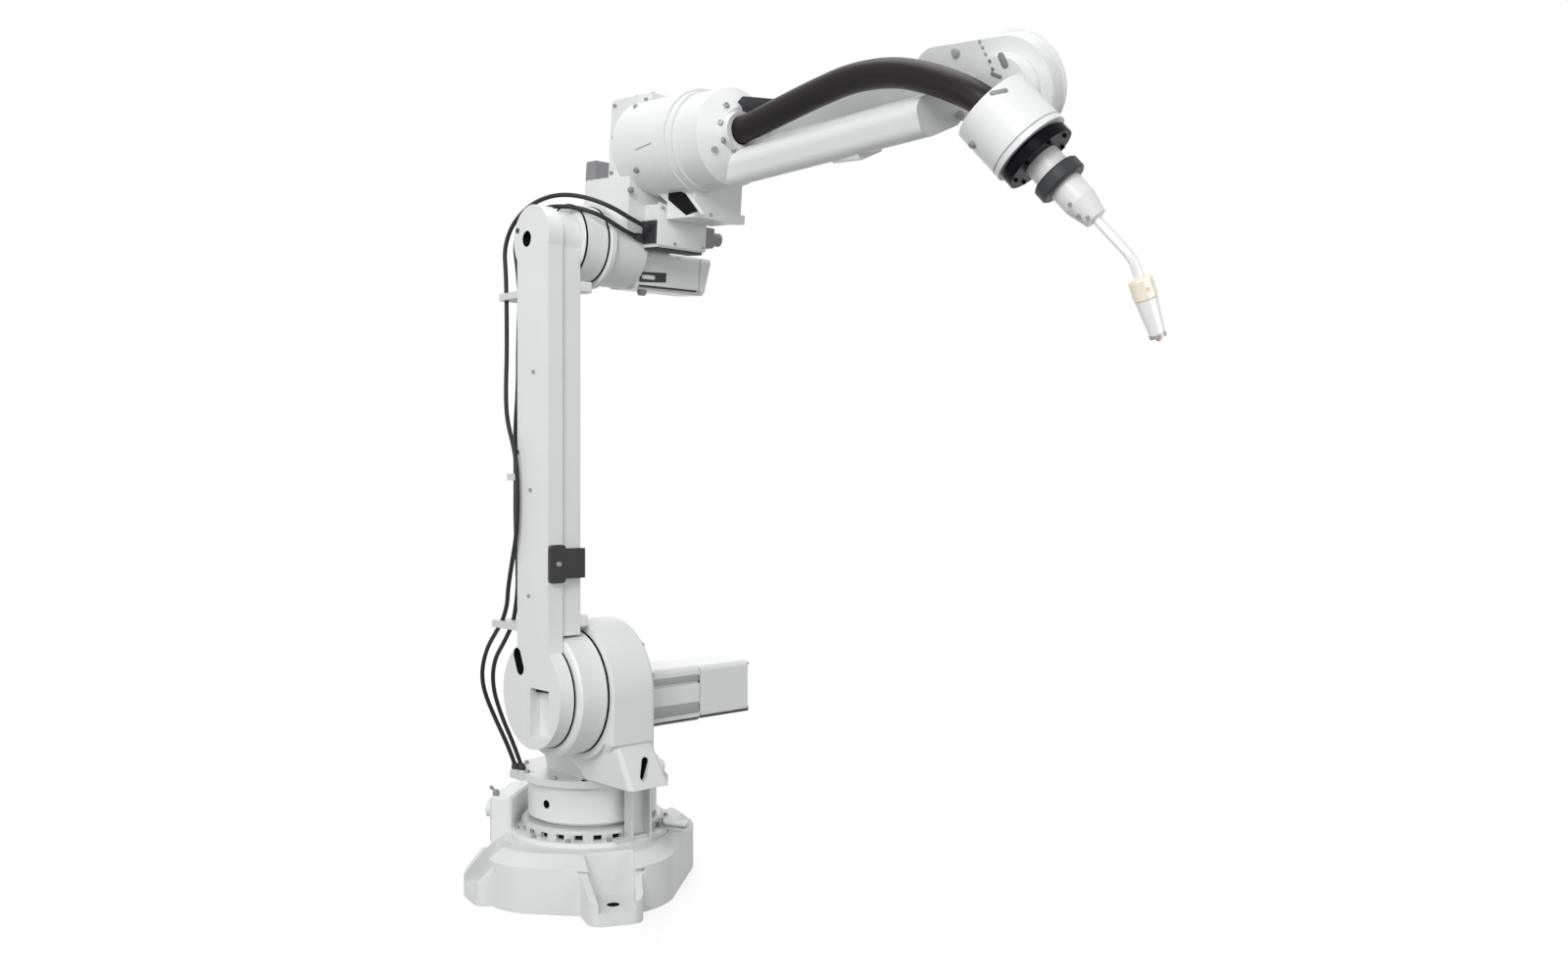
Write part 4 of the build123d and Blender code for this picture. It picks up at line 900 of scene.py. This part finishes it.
# %% Knobs and a seam of the elbow
knob_profile = ((0, -2), (6, -2), (6, 4), (4.6, 6), (0, 6.4))
knobs = [put(turned(knob_profile, 20), (274, -79, 1483), (-0.05, -0.83, -0.55)),
         put(turned(knob_profile, 20), (245, -72.4, 1448), left),
         put(turned(((0, 0), (10, 0), (10, 7), (7, 12), (0, 12.5)), 24), on_elbow(30, 6, -79.5), -forearm_up)]
piece("elbow_knobs", knobs, grey_plastic, "elbow")
seam = put(block(54, 2.2, 1.2, 0.4), (317, -95.6, 1518.6), (-0.02, -0.98, -0.19), (1, -0.02, 0.06))
piece("barrel_seam", [seam], mid_grey_paint, "elbow")

# %% [markdown]
# ## Forearm, wrist and torch
# A dark fin behind the hose paints the shade that falls there. Small bosses and studs stand on the inner face
# of the wrist drive, and the wrist cup carries studs, a knob and small oval plates.

# %% Parts of the forearm
# Painted shade: the fin is dark for the shade behind the hose.
shaded_fin_outline = ((327, 30), (335, 62), (352, 70), (462, 50), (452, 46), (372, 33))
shaded_fin = put(plate(shaded_fin_outline, 4), on_forearm(0, 16, 0), -tilt_axis, forearm_dir)
piece("hose_shaded_fin", [shaded_fin], dark_plastic, "forearm")
pod_boss = ((0, -1), (8, -1), (8, 3), (6.5, 4.5), (0, 4.8))
pod_bosses = [put(turned(pod_boss, 24), point, -tilt_axis)
              for point in ((973.5, 78.6, 1480.6), (1000, 36, 1569.5))]
piece("pod_bosses", pod_bosses, mid_grey_paint, "forearm")
stud_profile = ((0, -1), (2.8, -1), (2.8, 2), (0, 2.4))
pod_studs = [put(turned(stud_profile, 12), point, -tilt_axis)
             for point in ((1053.9, 32.1, 1573.7), (1056.5, 36.2, 1564.6), (1058.6, 41.0, 1554.1))]
piece("pod_studs", pod_studs, mid_grey_paint, "forearm")

# %% Parts of the wrist
wrist_dark = [put(turned(stud_profile, 12), point, -tilt_axis)
              for point in ((1083.7, 20.0, 1533.0), (1085.3, 25.3, 1521.4))]
wrist_dark.append(put(plate(oval(26, 13), 1.2, 0.3), (1109.5, 20.9, 1528.2), -tilt_axis, (0.2, 0.4, -0.9)))
wrist_dark.append(put(plate(oval(22, 6.5), 1.2, 0.3), (1089, 29.6, 1511.4), -tilt_axis, (1, 0.2, -0.55)))
wrist_dark.append(put(plate(oval(28, 7), 2.4, 0.5), (1147.4, -37.4, 1459), (0.66, -0.72, 0.18),
                      (0.71, 0.68, 0.17)))
wrist_dark.append(put(turned(knob_profile, 20), (1092.2, -30.8, 1391.8), (-0.35, -0.73, -0.58)))
piece("wrist_details", wrist_dark, grey_plastic, "wrist")

# %% [markdown]
# ## The back of the arm
# The motors on the far side are closed cases with an end cap, a seam and round connectors. The rear of the
# elbow is closed with bolted covers, and the connector housing shows the pins of its two sockets.

# %% Motors at the back
swing_cap = [put(block(100, 100, 4.5, 1.5), (swing_motor_x, swing_motor_y, 435), up, front),
             put(block(109, 109, 2, 0.6), (swing_motor_x, swing_motor_y, 392), up, front)]
piece("swing_motor_cap", swing_cap, mid_grey_paint, "turret")
plug_profile = ((0, 0), (14, 0), (14, 5), (11, 6), (11, 20), (12.5, 21), (12.5, 27), (0, 28))
swing_plugs = [put(turned(plug_profile, 24), (-119.5, y, 414), (-1, 0, 0)) for y in (52, 96)]
piece("swing_motor_plugs", swing_plugs, grey_plastic, "turret")
roll_cap = [put(block(84, 84, 4, 1.5), on_elbow(-156, 92, 205), -forearm_dir, across),
            put(block(93, 93, 2, 0.6), on_elbow(-128, 92, 205), forearm_dir, across)]
piece("roll_motor_cap", roll_cap, mid_grey_paint, "elbow")
roll_plug = [put(turned(plug_profile, 24), on_elbow(-144, 137.5, b), across) for b in (185, 225)]
piece("roll_motor_plugs", roll_plug, grey_plastic, "elbow")

# %% Covers and sockets at the back
rear_covers = [put(block(112, 42, 3, 1), on_elbow(-88, -3, 114), -forearm_dir, across),
               put(block(66, 84, 3, 1), on_elbow(-52, 4, 250), -forearm_dir, across)]
piece("rear_covers", rear_covers, smooth_paint, "elbow")
rear_screws = [(on_elbow(-91, y, b), -forearm_dir, 3) for y in (-52, 46) for b in (99, 129)]
rear_screws += [(on_elbow(-55, y, b), -forearm_dir, 3) for y in (-23, 31) for b in (214, 286)]
screw_set("rear_cover_screws", rear_screws, dark_steel, "elbow")
back_way, side_way = Vector((-0.7547, -0.6561, 0)), Vector((-0.6561, 0.7547, 0))
face_profile = ((0, 0), (13.5, 0), (13.5, 1), (12, 2), (0, 2))
pin_profile = ((0, 0), (1.3, 0), (1.3, 4), (0, 4.6))
socket_faces, socket_pins = [], []
for side in (-44, 44):
    mouth = back_way * 219.9 + side_way * side + Vector((0, 0, 157))
    socket_faces.append(put(turned(face_profile, 28), mouth, back_way))
    for x, y in ring_of(6, 7.5):
        pin_foot = mouth + side_way * x + Vector((0, 0, y))
        socket_pins.append(put(turned(pin_profile, 8), pin_foot, back_way))
piece("socket_faces", socket_faces, dark_plastic, "base")
piece("socket_pins", socket_pins, pale_brass, "base")

# %% Parts of the torch
nozzle_way = Vector((0.0778, 0.4174, -0.9054))
rim = put(band(9.2, 13.3, 6.1, steps=40), Vector((1293.1, 166.6, 1092.2)) - nozzle_way * 5.8, nozzle_way)
piece("nozzle_rim", [rim], dark_steel, "tool")
dot = ((0, -1), (3.4, -1), (3.4, 0.7), (0, 0.9))
dots = [put(turned(dot, 16), (1279.8, 118.6, 1158.6), (-0.42, -0.81, -0.41)),
        put(turned(dot, 16), (1303.0, 124.5, 1160.4), (0.87, -0.47, -0.14)),
        put(turned(dot, 16), (1296.0, 117.4, 1170), (0.6, -0.8, -0.1))]
piece("insulator_pins", dots, copper, "tool")

# %% [markdown]
# ## Light and floor
# Soft studio light comes from large lamps: one high at the front, weak ones from the left, the right and
# the rear, and one from above. The backdrop is white for the camera, for reflections and through glass. As
# a light it is only about a quarter as strong, so the white doesn't wash the arm out. The floor takes
# shadows, and far from the arm it fades into the same white.

# %% Lamps and world


def lamp(name, place, target, size, watts):
    """Large soft lamp aimed at a point."""
    data = bpy.data.lights.new(name, "AREA")
    data.size = size
    data.energy = watts
    made_lamp = bpy.data.objects.new(name, data)
    made_lamp.location = place
    made_lamp.rotation_euler = (Vector(place) - Vector(target)).to_track_quat("Z", "Y").to_euler()
    bpy.context.scene.collection.objects.link(made_lamp)


middle = (0.45, 0.0, 0.9)
lamp("key lamp", (2.3, -3.0, 3.0), middle, 2.0, 92)
lamp("left lamp", (0.1, -4.0, 1.1), middle, 2.4, 34)
lamp("top lamp", (0.2, 0.2, 4.4), middle, 2.6, 52)
lamp("right lamp", (4.4, 0.5, 0.9), middle, 2.0, 34)
lamp("rear lamp", (-3.0, 2.6, 2.2), middle, 2.4, 20)

fill_light = 0.24
world = bpy.data.worlds.new("studio")
bpy.context.scene.world = world
world.use_nodes = True
sky = world.node_tree
sky.nodes.clear()
paths = sky.nodes.new("ShaderNodeLightPath").outputs
seen = math_node(sky, "MAXIMUM", math_node(sky, "MAXIMUM", paths["Is Camera Ray"], paths["Is Glossy Ray"]),
                 paths["Is Transmission Ray"])
strength = math_node(sky, "ADD", math_node(sky, "MULTIPLY", seen, 1 - fill_light), fill_light)
backdrop = wire(sky, "ShaderNodeBackground", Color=(1, 1, 1, 1), Strength=strength)
sky.links.new(backdrop.outputs[0], sky.nodes.new("ShaderNodeOutputWorld").inputs["Surface"])

# %% Floor
floor_grey, floor_lift = 0.27, 0.74
fade_start, fade_end = 0.9, 2.6
floor_work = bmesh.new()
bmesh.ops.create_grid(floor_work, x_segments=1, y_segments=1, size=60)
floor_mesh = bpy.data.meshes.new("floor")
floor_work.to_mesh(floor_mesh)
floor_work.free()
floor = bpy.data.objects.new("floor", floor_mesh)
bpy.context.scene.collection.objects.link(floor)
pale_floor = bpy.data.materials.new("pale floor")
pale_floor.use_nodes = True
tree = pale_floor.node_tree
shader = tree.nodes["Principled BSDF"]
shader.inputs["Base Color"].default_value = (floor_grey, floor_grey, floor_grey, 1)
shader.inputs["Roughness"].default_value = 0.5
shader.inputs["Specular IOR Level"].default_value = 0.2
floor_paths = tree.nodes.new("ShaderNodeLightPath").outputs
length = wire(tree, "ShaderNodeVectorMath")
length.operation = "LENGTH"
tree.links.new(tree.nodes.new("ShaderNodeTexCoord").outputs["Object"], length.inputs[0])
far = wire(tree, "ShaderNodeMapRange", Value=length.outputs["Value"])
far.inputs["From Min"].default_value = fade_start
far.inputs["From Max"].default_value = fade_end
far.interpolation_type = "SMOOTHSTEP"
seen_floor = math_node(tree, "MAXIMUM", floor_paths["Is Camera Ray"], floor_paths["Is Glossy Ray"])
lift_strength = math_node(tree, "MULTIPLY", seen_floor, floor_lift)
lift = wire(tree, "ShaderNodeEmission", Color=(1, 1, 1, 1), Strength=lift_strength)
lifted = tree.nodes.new("ShaderNodeAddShader")
tree.links.new(shader.outputs[0], lifted.inputs[0])
tree.links.new(lift.outputs[0], lifted.inputs[1])
white = wire(tree, "ShaderNodeEmission", Color=(1, 1, 1, 1), Strength=1.0)
fade = tree.nodes.new("ShaderNodeMixShader")
tree.links.new(math_node(tree, "MULTIPLY", far.outputs["Result"], seen_floor), fade.inputs[0])
tree.links.new(lifted.outputs[0], fade.inputs[1])
tree.links.new(white.outputs[0], fade.inputs[2])
tree.links.new(fade.outputs[0], tree.nodes["Material Output"].inputs["Surface"])
floor_mesh.materials.append(pale_floor)
bpy.context.scene.view_settings.view_transform = "Standard"
